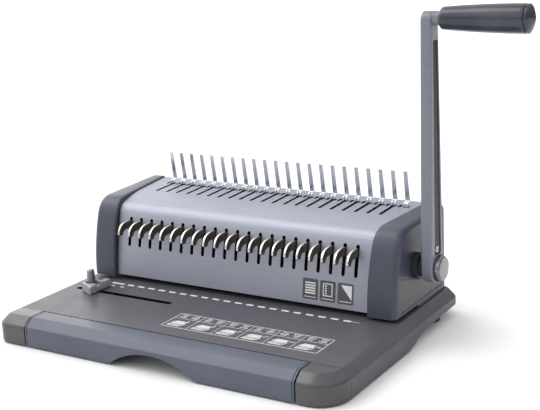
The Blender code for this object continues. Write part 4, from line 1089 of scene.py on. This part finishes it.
# ---------------- CAD nodes that stay

def refinish(mat, *nodes):
    """Give CAD nodes that stay their material and smooth shading."""
    for name in nodes:
        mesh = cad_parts[name].data
        mesh.materials.clear()
        mesh.materials.append(mat)
        smooth(mesh)


def pair(name):
    """The names of a left and a right node."""
    return [name + "_left", name + "_right"]


def finish_frame():
    refinish(TRAY, "chip_drawer")
    refinish(ZINC, "bottom_plate", *pair("side_plate"))
    refinish(STEEL, "punch_strip", "main_shaft", "shaft_collar", "rear_tie_bar", *pair("guide_pin"),
             *pair("punch_cam"), *pair("scroll_cam"))
    # Parts inside the housing are black, partly as painted shade in the throat and behind the slots.
    refinish(BLACK_STEEL_SHADE, "pressure_bar", "lower_die", "punch_guide", "paper_stop", *pair("punch_spring"))
    refinish(BRONZE, *pair("shaft_bush"))
    refinish(SCREW_STEEL, *pair("drawer_screw"))
    refinish(GUIDE_PAINT, "guide_clamp")


# ---------------- stage, camera and light

def build_stage():
    """A white floor under the feet, and the studio around it."""
    half, level = 12.0, CAD_BOX[0][2]
    floor = bmesh.new()
    plan = ((-half, -half), (half, -half), (half, half), (-half, half))
    floor.faces.new([floor.verts.new((x, y, level)) for x, y in plan])
    as_object("floor", floor, FLOOR)
    build_world()
    bpy.context.scene.view_settings.view_transform = "Standard"


# Soft sources on the studio dome: direction, where they start and end, and how bright they are
DOME_BASE = 0.14
DOME_SOURCES = [((0.0, 0.0, 1.0), 0.10, 0.60, 0.93),
                ((-0.52, -0.19, 0.83), 0.92, 0.985, 2.6),
                ((-0.70, -0.55, 0.45), 0.45, 0.95, 0.60),
                ((-0.95, 0.20, 0.25), 0.66, 0.92, 1.00),
                ((-0.80, 0.55, 0.22), 0.90, 0.99, 1.30)]


def build_world():
    """A dome with soft bright areas above, at the front left and at the far left."""
    world = bpy.data.worlds.new("studio")
    bpy.context.scene.world = world
    world.use_nodes = True
    tree = world.node_tree
    facing = tree.nodes.new("ShaderNodeTexCoord").outputs["Generated"]
    total = None
    for direction, start, end, power in DOME_SOURCES:
        dot = tree.nodes.new("ShaderNodeVectorMath")
        dot.operation = "DOT_PRODUCT"
        dot.inputs[1].default_value = Vector(direction).normalized()
        tree.links.new(facing, dot.inputs[0])
        span = tree.nodes.new("ShaderNodeMapRange")
        span.interpolation_type = "SMOOTHSTEP"
        for name, value in (("From Min", start), ("From Max", end), ("To Max", power)):
            span.inputs[name].default_value = value
        tree.links.new(dot.outputs["Value"], span.inputs["Value"])
        add = tree.nodes.new("ShaderNodeMath")
        add.inputs[1].default_value = DOME_BASE
        tree.links.new(span.outputs["Result"], add.inputs[0])
        if total is not None:
            tree.links.new(total, add.inputs[1])
        total = add.outputs[0]
    tree.links.new(total, tree.nodes["Background"].inputs["Strength"])
    tree.nodes["Background"].inputs["Color"].default_value = (1.0, 1.0, 1.0, 1.0)


def build_camera():
    """The photograph's camera, from the fit of its place, angles and lens."""
    azimuth, elevation, roll = math.radians(32.39), math.radians(14.46), math.radians(-2.83)
    back = Vector((math.sin(azimuth) * math.cos(elevation), -math.cos(azimuth) * math.cos(elevation),
                   math.sin(elevation)))
    level_right = Vector((math.cos(azimuth), math.sin(azimuth), 0.0))
    level_up = back.cross(level_right)
    right = math.cos(roll) * level_right + math.sin(roll) * level_up
    up = -math.sin(roll) * level_right + math.cos(roll) * level_up
    data = bpy.data.cameras.new("camera")
    data.sensor_width, data.lens = 36.0, 73.96
    obj = bpy.data.objects.new("camera", data)
    place = Vector((634.71, -801.90, 415.11)) * MM + ORIGIN
    obj.matrix_world = Matrix.Translation(place) @ Matrix((right, up, back)).transposed().to_4x4()
    bpy.context.scene.collection.objects.link(obj)
    bpy.context.scene.camera = obj


for build in (build_camera, build_stage, build_base, build_corners, build_feet, build_drawer,
              build_cover, build_caps, build_rear, build_fingers, build_hooks, build_lever, build_hub,
              build_grip, build_guide, build_dashes, build_panel_print, build_labels, finish_frame):
    build()
